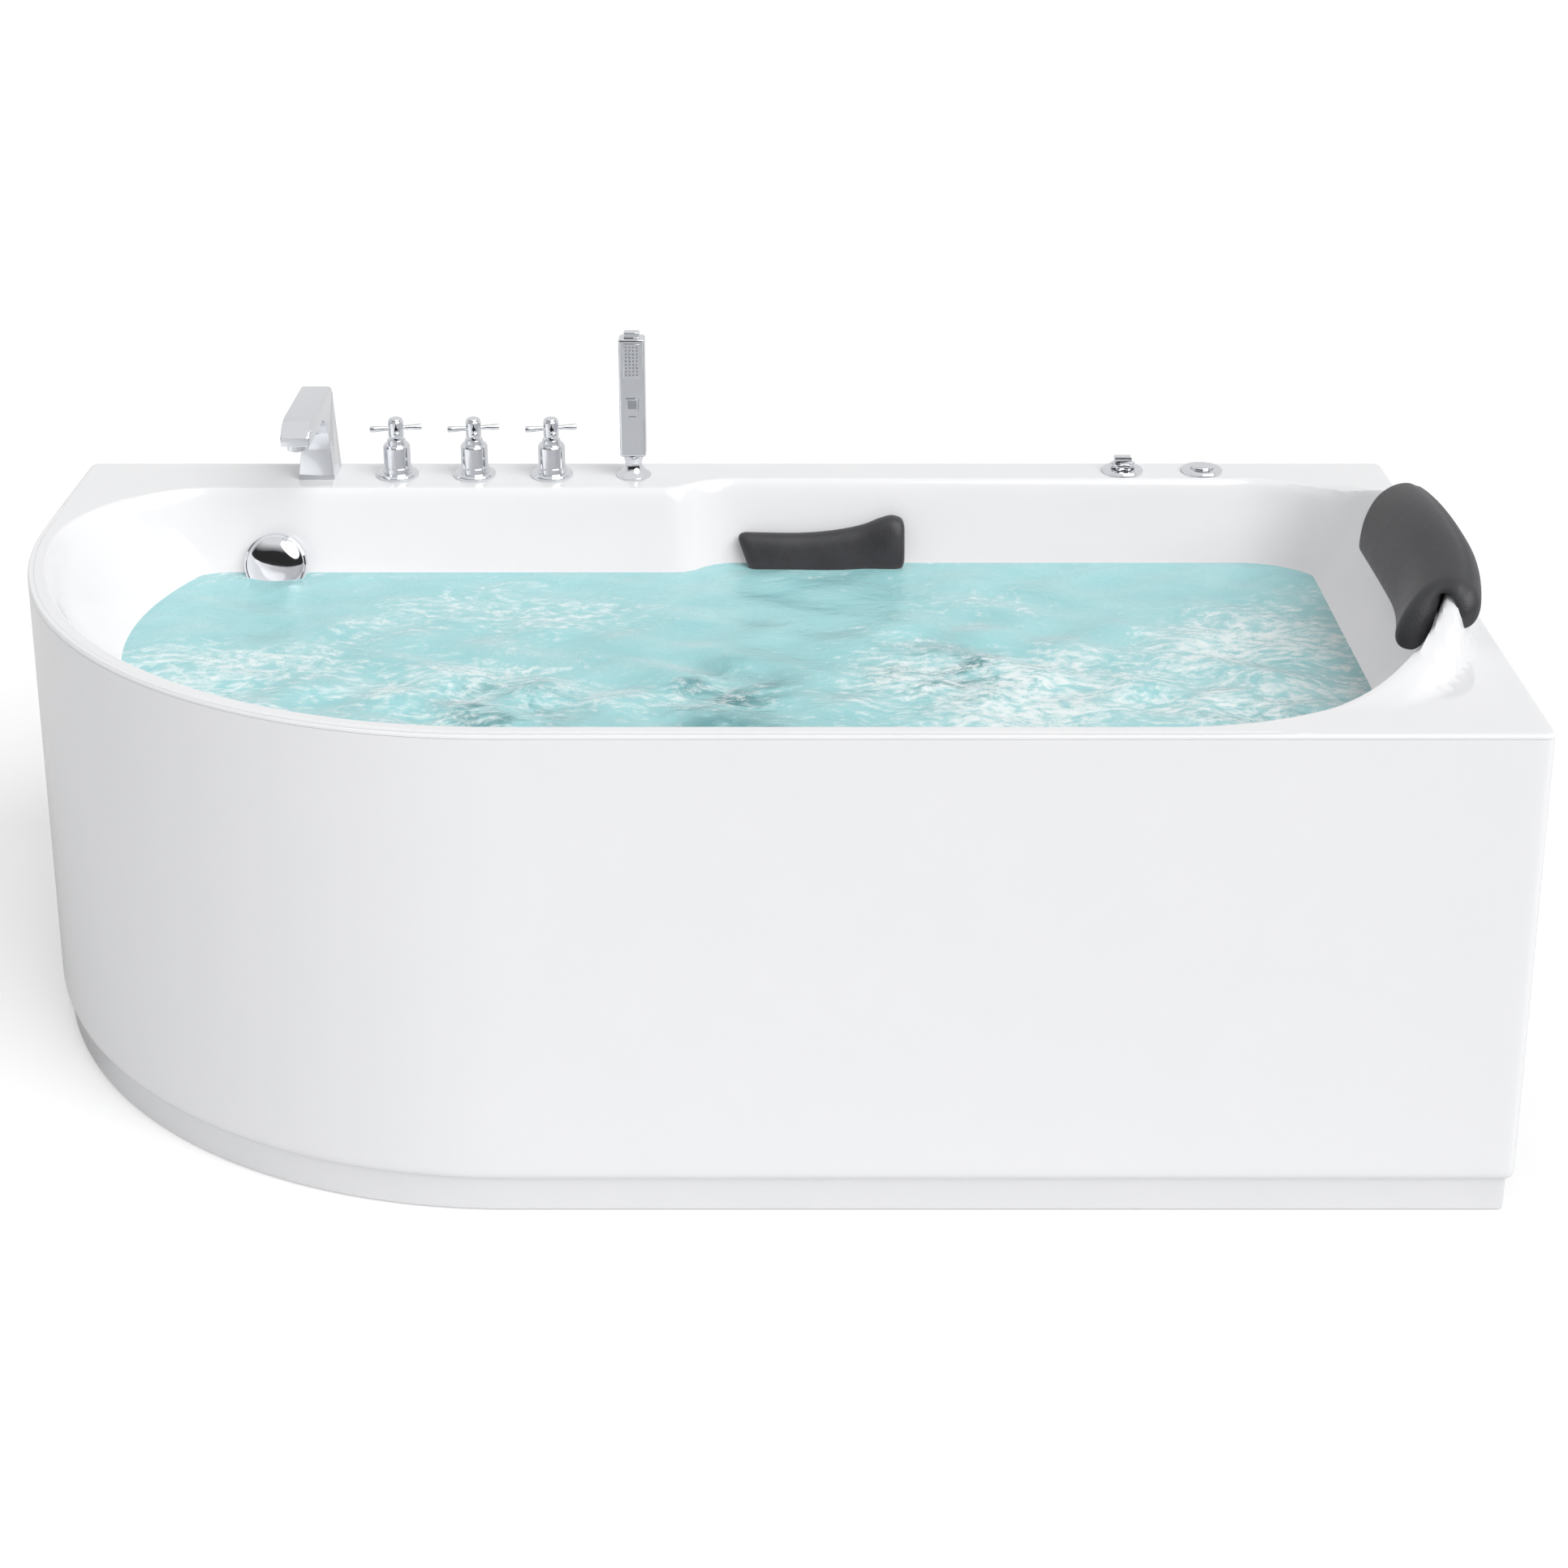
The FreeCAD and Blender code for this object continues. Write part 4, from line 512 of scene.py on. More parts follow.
# %% Outline of the deck
def deck_outline(inset):
    """The deck's plan outline moved in, with the same number of points at every inset."""
    small = max(corner_r - inset, 0.6)
    hold = small + inset
    corners = [arc_points((-right + end_r, -back + end_r), end_r - inset, 180, 270, 64),
               arc_points((right - hold, -back + hold), small, 270, 360, 6),
               arc_points((right - hold, back - hold), small, 0, 90, 6),
               arc_points((-right + hold, back - hold), small, 90, 180, 6)]
    run_counts = (96, 60, 130, 26)
    out = []
    for this, after, count in zip(corners, corners[1:] + corners[:1], run_counts):
        out += this + run_points(this[-1], after[0], count)
    return out


outline = np.array(deck_outline(0.0))
print("deck points:", len(outline))

# %% [markdown]
# The basin's brim is a chain of arcs that touch. Behind the taps the deck is wider, and a soft
# step of two small arcs leads over to the narrow part.

# %% Outline of the brim
def brim_outline():
    """The basin's brim, counter-clockwise from the foot end."""
    heel_c, heel_r = (-693.0, 163.0), 180.0
    sweep_c, sweep_r = (-251.5, 200.0), 623.0
    meet = math.degrees(math.atan2(heel_c[1] - sweep_c[1], heel_c[0] - sweep_c[0])) % 360
    lean = 138.4
    out = arc_points(sweep_c, sweep_r, meet, 270, 90)             # long curve at the front
    out += arc_points((490.0, -73.0), 350.0, 270, 360, 60)        # head end, front
    out += arc_points((690.0, 229.0), 150.0, 0, 90, 40)           # head end, rear
    out += arc_points((-2.0, 287.0), 92.0, 90, lean, 14)          # step, outer bend
    out += arc_points((-82.0, 358.0), 15.0, lean - 180, -90, 8)   # step, inner bend
    out += arc_points(heel_c, heel_r, 90, meet, 40)               # foot end, rear
    return out


brim = np.array(brim_outline())
print("brim points:", len(brim))

# %% [markdown]
# ## The shell's height over the plan
# A real shell is one heated sheet, sucked over a mould. Box modelling with a subdivision would
# pinch where the brim bends, so the height is worked out from a point's distance to the brim.

# %% Distance from the brim
def from_brim(x, y):
    """Signed distance from the brim: positive inside the basin."""
    p = np.stack([x, y], -1)[..., None, :]
    a = brim
    b = np.roll(brim, -1, axis=0)
    along = b - a
    t = np.clip(((p - a) * along).sum(-1) / np.maximum((along ** 2).sum(-1), 1e-9), 0, 1)
    gap = np.sqrt((((a + along * t[..., None]) - p) ** 2).sum(-1)).min(-1)
    px, py = p[..., 0], p[..., 1]
    rise = np.where(along[:, 1] == 0, 1e-9, along[:, 1])
    crosses = ((a[:, 1] > py) != (b[:, 1] > py)) & (
        px < along[:, 0] * (py - a[:, 1]) / rise + a[:, 0])
    return np.where(crosses.sum(-1) % 2 == 1, gap, -gap)


print("x 0, y 0 is in from the brim by", round(float(from_brim(np.array(0.0), np.array(0.0)))))

# %% [markdown]
# Formed sheet has no sharp lines: where two faces meet it rounds. A larger and a smaller of two
# heights that round their meeting line give the same look.

# %% Rounded larger and smaller of two heights
def soft_max(a, b, k):
    """The larger of two heights, rounded where they are within k of each other."""
    h = np.clip(k - np.abs(a - b), 0, None) / k
    return np.maximum(a, b) + h * h * k / 4


def soft_min(a, b, k):
    """The smaller of two heights, rounded in the same way."""
    return -soft_max(-a, -b, k)


print("rounding adds at most a quarter of its width:", float(soft_max(np.array(0.0), 0.0, 40.0)))

# %% [markdown]
# Below the brim the wall leans in for the first part, then falls more steeply, and a smooth
# cubic leads it into the flat floor.

# %% Height of the walls
upper_in, upper_drop = 34.0, 120.0
lower_in, lower_drop = 46.0, 245.0
bend_start, bend_end = 72.0, 140.0
outer_slope = 4.2


def wall_height(d):
    """Height of the basin's wall at an inset from the brim, rounded into the floor."""
    steep = lower_drop / lower_in
    upper = deck_z - d * (upper_drop / upper_in)
    lower = deck_z - upper_drop - (d - upper_in) * steep
    side = np.where(d < 0, deck_z - d * outer_slope, np.where(d < upper_in, upper, lower))
    t = np.clip((d - bend_start) / (bend_end - bend_start), 0, 1)
    start = deck_z - upper_drop - (bend_start - upper_in) * steep
    slope = -steep * (bend_end - bend_start)
    bend = (floor_z + (start - floor_z) * (2 * t ** 3 - 3 * t ** 2 + 1)
            + slope * (t ** 3 - 2 * t ** 2 + t))
    return np.where(d > bend_start, np.maximum(bend, floor_z), side)


print("wall height 34 mm in:", float(wall_height(np.array(upper_in))))

# %% [markdown]
# A leaning cylinder shapes the sloped foot end and a leaning plane the backrest. Outside the
# brim the deck is flat, and behind the head it swells to a low crest that carries the headrest.

# %% Height of the whole shell
foot_r, foot_y, foot_x, foot_lean = 600.0, 100.0, -883.0, 45.0
backrest_x, backrest_lean = 841.0, 63.0
crest_r, crest_y, crest_base = 818.1, -12.0, -144.1
crest_from_x = 500.0


def shell_height(x, y, d):
    """The shell's upper face above a point of the plan."""
    reach = np.sqrt(np.clip(foot_r ** 2 - (y - foot_y) ** 2, 0, None))
    lean = math.radians(foot_lean)
    foot = deck_z + (foot_r - reach - (x - foot_x) * math.sin(lean)) / math.cos(lean)
    rest = deck_z - (backrest_x - x) * math.tan(math.radians(backrest_lean))
    inside = soft_max(soft_max(wall_height(d), foot, 40.0), rest, 7.0)
    crest = crest_base + np.sqrt(np.clip(crest_r ** 2 - (y - crest_y) ** 2, 0, None))
    outer = deck_z - 5.0 + (48.0 + d) * outer_slope
    hump = np.where(x > crest_from_x, soft_min(crest, outer, 26.0), deck_z - 100.0)
    deck = soft_max(np.full_like(x, deck_z), hump, 16.0)
    return soft_min(inside, deck, 26.0)


print("crest in mm:", round(crest_base + crest_r, 1))

# %% [markdown]
# ## The shell's skin
# Each point of the deck's outline looks towards a line along the middle of the basin, and where
# it crosses the brim a row of points goes down the wall at chosen insets. The rows make rings,
# so the mesh follows the brim and stays smooth where the light runs along it.

# %% Where the rings lie
spine_from, spine_to, spine_y = -330.0, 560.0, -20.0
ring_insets = [2, 4, 6, 8, 10.5, 14, 19, 26, 34, 42, 50, 58, 66, 74, 82, 90, 98, 108, 118, 128, 140]
outer_shares = [1.0, 0.93, 0.86, 0.79, 0.72, 0.66, 0.6, 0.54, 0.49, 0.44, 0.39, 0.34, 0.29, 0.24,
                0.2, 0.16, 0.12, 0.08, 0.04, 0.0]
middle_shares = [0.12, 0.24, 0.36, 0.48, 0.6, 0.72, 0.84, 0.93, 1.0]


def column_at(q):
    """Points from one point of the deck's outline to the middle line."""
    s = np.array([min(max(q[0], spine_from), spine_to), spine_y])
    shares = np.linspace(0, 1, 400)
    line = q + (s - q) * shares[:, None]
    d = from_brim(line[:, 0], line[:, 1])
    first = int(np.argmax(d > 0))
    step = (shares[first] - shares[first - 1]) * (-d[first - 1]) / (d[first] - d[first - 1])
    edge = shares[first - 1] + step
    depth = np.maximum.accumulate(d[first:])
    stops = [edge * (1 - f) for f in outer_shares]
    stops += [float(np.interp(inset, depth, shares[first:])) for inset in ring_insets]
    last = stops[-1]
    stops += [last + (1 - last) * f for f in middle_shares]
    return q + (s - q) * np.array(stops)[:, None]


grid = np.array([column_at(q) for q in outline])
depths = from_brim(grid[..., 0], grid[..., 1])
height = shell_height(grid[..., 0], grid[..., 1], depths)
print("shell grid:", grid.shape)

# %% [markdown]
# Five more rings outside round the deck's edge. All rings are bridged face by face, and the
# sheet gets its 5 mm from a Solidify modifier, just as the real sheet has one thickness.

# %% Skin of the shell
edge_rows = [(0.0, -4.8), (0.0, -3.2), (0.6, -1.6), (1.8, -0.5), (3.6, -0.05)]
count = len(outline)


def bridged(ring_count, closed=False):
    """Faces between rings of points that lie one after the other in a list."""
    out = []
    for k in range(ring_count if closed else ring_count - 1):
        a, b = k * count, (k + 1) % ring_count * count
        for i in range(count):
            j = (i + 1) % count
            out.append((a + i, a + j, b + j, b + i))
    return out


def cleaned(obj, distance):
    """Merges the points of a mesh that lie closer than a distance in millimetres."""
    only(obj)
    bpy.ops.object.mode_set(mode="EDIT")
    bpy.ops.mesh.select_all(action="SELECT")
    bpy.ops.mesh.remove_doubles(threshold=distance * MM)
    bpy.ops.mesh.dissolve_degenerate(threshold=0.02 * MM)
    bpy.ops.object.mode_set(mode="OBJECT")
    return obj


points = [(x, y, deck_z + drop) for inset, drop in edge_rows for x, y in deck_outline(inset)]
for k in range(1, grid.shape[1]):
    points += [(*grid[i, k], height[i, k]) for i in range(count)]
bath = cleaned(mesh_object("bath_shell", points, bridged(len(points) // count)), 0.02)
applied(bath, "SOLIDIFY", thickness=wall * MM, offset=-1.0, use_even_offset=False)
print("shell faces:", len(bath.data.polygons))

# %% [markdown]
# A turned-down lip stiffens the deck and hides the top of the panel. It is a closed strip that
# follows the outline a few millimetres in.

# %% Closed strip that follows the outline
def strip(name, section):
    """A closed band round the deck's outline from (inset, height) corners of its section."""
    points = [(x, y, z) for inset, z in section for x, y in deck_outline(inset)]
    return outward(mesh_object(name, points, bridged(len(section), closed=True)))


lip = strip("shell_lip", [(7.0, 565.0), (7.0, 595.5), (12.0, 595.5), (12.0, 565.0)])
print("lip faces:", len(lip.data.polygons))

# %% [markdown]
# ## Where the fittings stand
# All of them go through the shell. Those on the deck stand upright; those in the long walls
# point square out of a wall that leans.

# %% Places of the fittings
tap_y, control_y = 399.0, 415.0
valve_x = (-466.0, -359.5, -253.0)
spout_x, holder_x = -575.0, -140.0
air_x, button_x = 536.0, 646.0
seat_z = deck_z + 0.3
wall_lean, upper_lean = 10.63, 15.82
suction_at, overflow_at = (400.0, -351.6, 281.0), (-622.0, 315.2, 502.0)
drain_at = (-395.0, -20.0, 170.0)
UP = Vector((0.0, 0.0, 1.0))


def outwards(side, lean):
    """The direction out through a long wall."""
    sign = -1.0 if side == "front" else 1.0
    t = math.radians(lean)
    return Vector((0.0, sign * math.cos(t), -math.sin(t)))


jet_x, jet_z, step_x = (-220.0, 60.0, 290.0), 330.0, -42.0
jets = [((x, -360.8, jet_z), outwards("front", wall_lean)) for x in jet_x]
jets += [((x, 280.8 if x < step_x else 316.8, jet_z), outwards("rear", wall_lean)) for x in jet_x]
print("jets:", len(jets))

# %% [markdown]
# The shell is drilled as on the bench. One cutter is made of all drills at once, so the Boolean
# modifier runs only once over the large mesh.

# %% Drill the shell
drills = [(13.0, (x, tap_y, deck_z), UP) for x in (*valve_x, spout_x, holder_x)]
drills += [(20.0, (x, control_y, deck_z), UP) for x in (air_x, button_x)]
drills += [(20.0, at, along) for at, along in jets]
drills += [(23.0, suction_at, outwards("front", wall_lean)),
           (16.0, overflow_at, outwards("rear", upper_lean)), (24.0, drain_at, UP)]


def cut_by(obj, knife):
    """Takes a closed form out of another and deletes it."""
    applied(obj, "BOOLEAN", operation="DIFFERENCE", object=knife, solver="EXACT")
    bpy.data.objects.remove(knife)
    return obj


cutters = []
for r, at, along in drills:
    bpy.ops.object.select_all(action="DESELECT")
    bpy.ops.mesh.primitive_cylinder_add(vertices=32, radius=r * MM, depth=0.06)
    cutters.append(placed(bpy.context.object, at, along))
cut_by(bath, joined(cutters, "drill"))
bath = settled(joined([bath, lip], "bath_shell"), 40.0)
fitted(bath, shell_acrylic, "bath", ["tub_shell"])

# %% [markdown]
# ## The front panel
# One formed sheet wraps from the rear left corner round the big curve and along the front. Its
# lower edge rolls under to a toe recess, and it turns in a little at the right end. The strip
# goes all the way round, so two blocks cut it off behind and at the right, one after the other.

# %% Front panel
top_z = 594.7
roll = [(0.0, top_z), (0.0, 60.0), (0.15, 55.0), (0.8, 51.5), (2.0, 48.5), (4.0, 46.3),
        (6.5, 45.2), (8.3, 44.8), (9.0, 43.6), (9.0, 4.0), (9.6, 2.5), (11.0, 2.0), (35.0, 2.0),
        (35.0, 6.0), (13.2, 6.0), (13.0, 49.0), (4.0, 50.5), (4.0, top_z)]
panel_gaps = [((-950.0, 436.0, -10.0), (950.0, 470.0, 620.0)),
              ((848.0, -424.0, -10.0), (950.0, 470.0, 620.0))]
panel = strip("front_panel", roll)
for low, high in panel_gaps:
    cut_by(panel, block("panel_gap", low, high, 0))
fitted(settled(panel, 32.0), panel_acrylic, "bath", ["front_apron"])

# %% [markdown]
# ## The headrest
# The headrest is one moulded foam pad that hangs over the raised back. Its face is dished for the
# neck, its lower edge is thick, its front end has two lips with a notch between them, and its
# rear end is cut on a slant. Sculpting by hand can't be written down step by step, so the pad is
# laid out as a grid of sections that follow the crest.

# %% A smooth line through a section's points
def through(points, share):
    """A point on the smooth curve through a list of points."""
    last = len(points) - 1
    at = min(max(share, 0.0), 1.0) * last
    i = min(int(at), last - 1)
    t = at - i
    p = [np.array(points[min(max(k, 0), last)], float) for k in (i - 1, i, i + 1, i + 2)]
    return 0.5 * (2 * p[1] + (p[2] - p[0]) * t + (2 * p[0] - 5 * p[1] + 4 * p[2] - p[3]) * t * t
                  + (3 * p[1] - p[0] - 3 * p[2] + p[3]) * t ** 3)


print("halfway through 0, 1, 4:", float(through([(0,), (1,), (4,)], 0.5)[0]))

# %% [markdown]
# A section shows the pad from its lower edge in the basin, up the face, over the crest and down
# behind. The back line lies on the shell; the face line is where the foam ends.

# %% Sections of the headrest
face_line = [(794, 599), (797, 626), (806, 652), (824, 678), (850, 693), (876, 692), (892, 676),
             (893, 652)]
back_line = [(837, 598), (845, 624), (850, 648), (855, 672), (861, 675.5), (870, 674), (876, 660),
             (880, 648)]
follow = [(f,) for f in (0.0, 0.25, 0.55, 0.9, 1.0, 1.0, 1.0, 1.0)]
front_ends = [(y,) for y in (-213, -208, -202, -193, -192, -203, -213, -212)]
rear_ends = [(y,) for y in (96, 108, 124, 140, 151, 158, 157, 150)]
corner_y, corner_bend = -73.0, 350.0


def pad_surface(u, v):
    """Points of the pad's back and face: u runs along the crest, v over it."""
    y = float(through(front_ends, v)[0] * (1 - u) + through(rear_ends, v)[0] * u)
    fall = crest_r - math.sqrt(crest_r ** 2 - (y - crest_y) ** 2)
    off = min(y - corner_y, 0.0)
    curve = corner_bend - math.sqrt(corner_bend ** 2 - off ** 2)
    drop = fall * float(through(follow, v)[0])
    face, rear = through(face_line, v), through(back_line, v)
    dish = 5.0 * math.sin(math.pi * u) * math.exp(-((v - 0.3) / 0.2) ** 2)
    groove = 2.6 * math.exp(-((v - 0.71) / 0.022) ** 2)
    top = np.array([face[0] + dish - curve * 0.75, y, face[1] - drop - groove - 0.3 * dish])
    low = np.array([rear[0] - curve - 0.238 * drop, y, rear[1] - drop + 0.8])
    return low, top


def crown(u, v, length, girth, round_r):
    """How full the pad is at a place: it curls down to nothing at its edges."""
    near = min(min(u, 1 - u) * length, min(v, 1 - v) * girth) / round_r
    return math.sqrt(max(1 - (1 - min(near, 1.0)) ** 2, 0.0))


def eased(steps):
    """Shares from 0 to 1 that lie closer together near both ends."""
    return [0.5 - 0.5 * math.cos(math.pi * i / steps) for i in range(steps + 1)]


print("middle of the pad's face:", pad_surface(0.5, 0.5)[1].round())

# %% [markdown]
# Two layers of the same grid make the pad: one stays near the back line, one near the face. At
# the edges both meet, and a light smoothing takes the last ridge away, as foam has none.

# %% Headrest
across, around = 72, 56
rim_share = 0.36
pts = []
for layer in (0, 1):
    for u in eased(across):
        for v in eased(around):
            low, top = pad_surface(u, v)
            full = crown(u, v, 350.0, 175.0, 17.0)
            thick = rim_share + (1 - rim_share) * full if layer else rim_share * (1 - full)
            pts.append(tuple(low + (top - low) * thick))
row = around + 1
sheet = (across + 1) * row
cushion_faces = []
for i in range(across):
    for j in range(around):
        a = i * row + j
        quad = (a, a + 1, a + row + 1, a + row)
        cushion_faces += [quad, tuple(sheet + k for k in reversed(quad))]
headrest = outward(mesh_object("headrest_cushion", pts, cushion_faces))
applied(headrest, "SMOOTH", factor=0.5, iterations=3)
fitted(settled(headrest, 60.0), pad_skin, "bath", ["headrest_pad"])

# %% [markdown]
# ## The hand grip
# The grip is a moulded bar on the basin's rear wall. Its left end is cut on a slant, it dips in
# the middle and its right end rises to a rounded knob that stands further off the wall. Its upper
# and lower lines are drawn as in a side view, and a rounded section is swept between them.

# %% Grip
top_line = [(1, 535), (45, 534), (95, 534), (140, 538), (175, 545), (198, 554), (216, 558),
            (232, 552)]
low_line = [(22, 479), (58, 479), (100, 480), (142, 482), (176, 485), (200, 486), (218, 487),
            (232, 492)]
stand_off = [(d,) for d in (24, 27, 27, 27, 27, 31, 33, 30)]
rear_wall_y = 379.0
long_steps, round_steps = 64, 40


def squared(value):
    """A sine or cosine made fuller, so that a circle becomes a rounded square."""
    return math.copysign(abs(value) ** 0.72, value)


pts, grip_faces = [], []
for u in eased(long_steps):
    top, low, off = through(top_line, u), through(low_line, u), float(through(stand_off, u)[0])
    near = min(u, 1 - u) * 235.0 / 15.0
    end = math.sqrt(max(1 - (1 - min(near, 1.0)) ** 2, 0.0))
    for k in range(round_steps):
        a = 2 * math.pi * k / round_steps
        rise = squared(math.sin(a)) * (0.55 + 0.45 * end)
        out = squared(math.cos(a)) * (0.03 + 0.97 * end)
        x = (top[0] * (1 + rise) + low[0] * (1 - rise)) / 2
        z = (top[1] * (1 + rise) + low[1] * (1 - rise)) / 2
        wall_y = rear_wall_y - (deck_z - z) * upper_in / upper_drop
        pts.append((x, wall_y - 0.4 - off * (0.5 + 0.5 * out) - 1.5 * (1 - end), z))
for i in range(long_steps):
    for k in range(round_steps):
        m = (k + 1) % round_steps
        a, b = i * round_steps, (i + 1) * round_steps
        grip_faces.append((a + k, a + m, b + m, b + k))
grip_faces.append(tuple(range(round_steps)))
grip_faces.append(tuple(long_steps * round_steps + k for k in range(round_steps)))
grip = outward(mesh_object("grip_cushion", pts, grip_faces))
fitted(settled(grip, 75.0), pad_skin, "bath", ["grip_pad"])

# %% [markdown]
# ## The bath spout
# The spout is a flat bridge cast in brass: a column that narrows upwards, a level neck and a
# drooping nose. Extruding a face is the quickest way to such a form, so its side outline is
# drawn once, given its width, tapered at the foot and bevelled.

# %% A prism from an outline
def prism(name, corners, way):
    """Extrudes one face of points in millimetres along a vector."""
    obj = only(mesh_object(name, corners, [tuple(range(len(corners)))]))
    bpy.ops.object.mode_set(mode="EDIT")
    bpy.ops.mesh.select_all(action="SELECT")
    bpy.ops.mesh.extrude_region_move(TRANSFORM_OT_translate={"value": [c * MM for c in way]})
    bpy.ops.object.mode_set(mode="OBJECT")
    return obj


side_line = [(440.0, 0.3), (436.0, 95.0), (434.5, 104.0), (431.5, 111.0), (427.0, 116.0),
             (420.5, 120.5), (413.0, 123.8), (404.0, 125.0), (281.0, 125.0), (272.0, 124.4),
             (263.5, 122.8), (256.0, 119.8), (248.5, 115.0), (243.0, 110.0), (240.0, 106.0),
             (240.0, 94.0), (280.0, 94.0), (303.0, 94.6), (324.0, 95.6), (344.0, 96.0),
             (362.0, 90.5), (375.0, 79.0), (382.5, 65.0), (386.0, 50.0), (386.5, 40.0),
             (379.0, 0.3)]
side = prism("spout_casting", [(-25.0, y, deck_z + z) for y, z in side_line], (50.0, 0.0, 0.0))
print("corners of the spout's side:", len(side_line))

# %% [markdown]
# The foot is widest; over its first 50 mm the column loses a quarter of its width. A threaded
# tail goes through the deck, and the water leaves through a short ring under the nose.

# %% Spout
for vertex in side.data.vertices:
    narrow = min(max((vertex.co.z / MM - deck_z) / 50.0, 0.0), 1.0)
    vertex.co.x *= 1.0 - 0.24 * narrow
applied(outward(side), "BEVEL", width=1.4 * MM, segments=3, limit_method="ANGLE",
        angle_limit=math.radians(40))
placed(side, (spout_x, 0.0, 0.0))
tail = turned("spout_tail", [(0, -80), (12.5, -80), (12.5, 1), (0, 1)], 32, 0.0,
              (spout_x, tap_y, deck_z))
spout = settled(joined([side, tail], "spout_casting"), 32.0)
fitted(spout, chrome, "bath", ["spout"])
outlet_ring = [(9.2, -9.7), (13.0, -9.7), (14.2, -8.6), (14.2, 0), (11.0, 0.2), (11.0, 9.5),
               (9.2, 9.5), (9.2, -9.7)]
outlet = turned("spout_outlet", outlet_ring, 48, 0.0, (spout_x, 260.0, 694.0))
fitted(outlet, chrome, "bath", ["spout_aerator"])

# %% [markdown]
# ## The three valves
# Each valve is turned from brass bar: a wide foot ring, a stout barrel with a band at its foot and
# a chamfer at its shoulder, and a slim neck. Spinning half a profile is the lathe's own way. One
# is made and copied, because the three are alike.

# %% Valve housings
valve_line = [(0, -105), (10.5, -105), (10.5, -80), (12.5, -80), (12.5, 0), (29, 0), (29, 3.2),
              (27.4, 5.2), (24.5, 6), (20.4, 6), (20.4, 13), (19.4, 13.8), (18.5, 13.8),
              (18.5, 42.5), (16.2, 46), (12.5, 46), (12.5, 52), (11.6, 53), (0, 53)]
one = turned("valve", valve_line, 64, 0.35)
bodies = [placed(copied(one, "valve_part"), (x, tap_y, seat_z)) for x in valve_x]
bpy.data.objects.remove(one)
valves = settled(joined(bodies, "valve_housings"), 30.0)
fitted(valves, chrome, "bath", ["valve_bodies", "valve_cartridges"])

# %% [markdown]
# A cross handle is a hub with two rods through it that swell at their ends. At rest the crosses
# stand ten degrees off square, as in the picture.

# %% Cross handles
hub_line = [(0, 53.3), (4, 53.3), (4, 56), (9.6, 56), (10.5, 57.2), (10.5, 77.5), (9.4, 79),
            (9.4, 80.2), (8.6, 81.6), (6.4, 82.6), (0, 83)]
rod_line = [(0, -35.5), (2.8, -35.4), (3.9, -34.7), (4.2, -33.3), (4.1, -27), (3.3, -14),
            (3.3, 14), (4.1, 27), (4.2, 33.3), (3.9, 34.7), (2.8, 35.4), (0, 35.5)]
hub = turned("cross_hub", hub_line, 48, 0.2)
rods = [turned("cross_rod", rod_line, 32, 0.0, (0, 0, 68), (math.cos(a), math.sin(a), 0))
        for a in (math.radians(10), math.radians(100))]
cross = joined([hub, *rods], "cross")
for x, name in zip(valve_x, ("hot", "cold", "diverter")):
    handle = placed(copied(cross, name + "_cross_handle"), (x, tap_y, seat_z))
    fitted(settled(handle, 30.0), chrome, name + "_cross", [name + "_handle"])
bpy.data.objects.remove(cross)

# %% [markdown]
# ## The hand shower and its rest
# The rest is a small turned bell with a hole for the shower's stem.

# %% Rest of the hand shower
rest_line = [(8.05, -80), (12.5, -80), (12.5, 0), (24, 0), (24, 1.6), (22, 3.6), (16.4, 7.4),
             (12.6, 12.4), (11, 18), (11.8, 21.4), (13, 24), (13, 29.2), (12.3, 30), (8.05, 30),
             (8.05, -80)]
rest = turned("handset_rest", rest_line, 64, 0.0, (holder_x, tap_y, seat_z))
fitted(rest, chrome, "bath", ["handset_holder"])

# %% [markdown]
# The shower is a square chromed bar. A cube with rounded edges gives the bar; two more blocks cut
# the button's pocket and the slot below it, and a raised plate carries the nozzles.

# %% Bar of the hand shower
foot_z, front_y = 630.6, tap_y - 14.0


def bar_block(name, half, low, high, front, rear, soft):
    """A block on the shower's middle line: half width, heights from its foot, depths."""
    return block(name, (holder_x - half, front, foot_z + low),
                 (holder_x + half, rear, foot_z + high), soft)


bar = bar_block("shower_bar", 17.75, 0.0, 168.0, front_y, tap_y + 14.0, 0)
applied(bar, "BEVEL", width=3.0 * MM, segments=4)
cut_by(bar, bar_block("pocket", 8.8, 67.2, 84.8, front_y - 4, front_y + 7, 0))
cut_by(bar, bar_block("slot_cut", 5, 58.0, 60.0, front_y - 4, front_y + 1.2, 0))
plate = bar_block("spray_plate", 11, 114, 162, front_y - 1.5, front_y + 1, 0.6)
cap = bar_block("shower_cap", 10.6, 167, 176, tap_y - 7, tap_y + 7, 1.6)
stem = turned("shower_stem", [(0, -24), (8, -24), (8, 1), (0, 1)], 32, 0.5,
              (holder_x, tap_y, foot_z))
shower = settled(joined([bar, plate, cap, stem], "hand_shower_bar"), 32.0)
fitted(shower, chrome, "hand_shower", ["handset"])

# %% [markdown]
# The nozzles are soft silicone points in four columns; limescale is rubbed off them with a
# finger. One is turned and copied over the plate.

# %% Spray nozzles
columns, lines, column_gap, line_gap = 4, 9, 5.0, 4.9
one = turned("dot", [(0, 0), (1.35, 0), (1.2, 1.2), (0.8, 1.5), (0, 1.5)], 12, 0.0)
dots = []
for column in range(columns):
    for line in range(lines):
        x = holder_x + (column - (columns - 1) / 2) * column_gap
        z = foot_z + 138 + (line - (lines - 1) / 2) * line_gap
        dots.append(placed(copied(one, "dot_copy"), (x, front_y - 1.4, z), (0, -1, 0)))
bpy.data.objects.remove(one)
fitted(settled(joined(dots, "spray_nozzles"), 30.0), nozzle_rubber, "hand_shower")

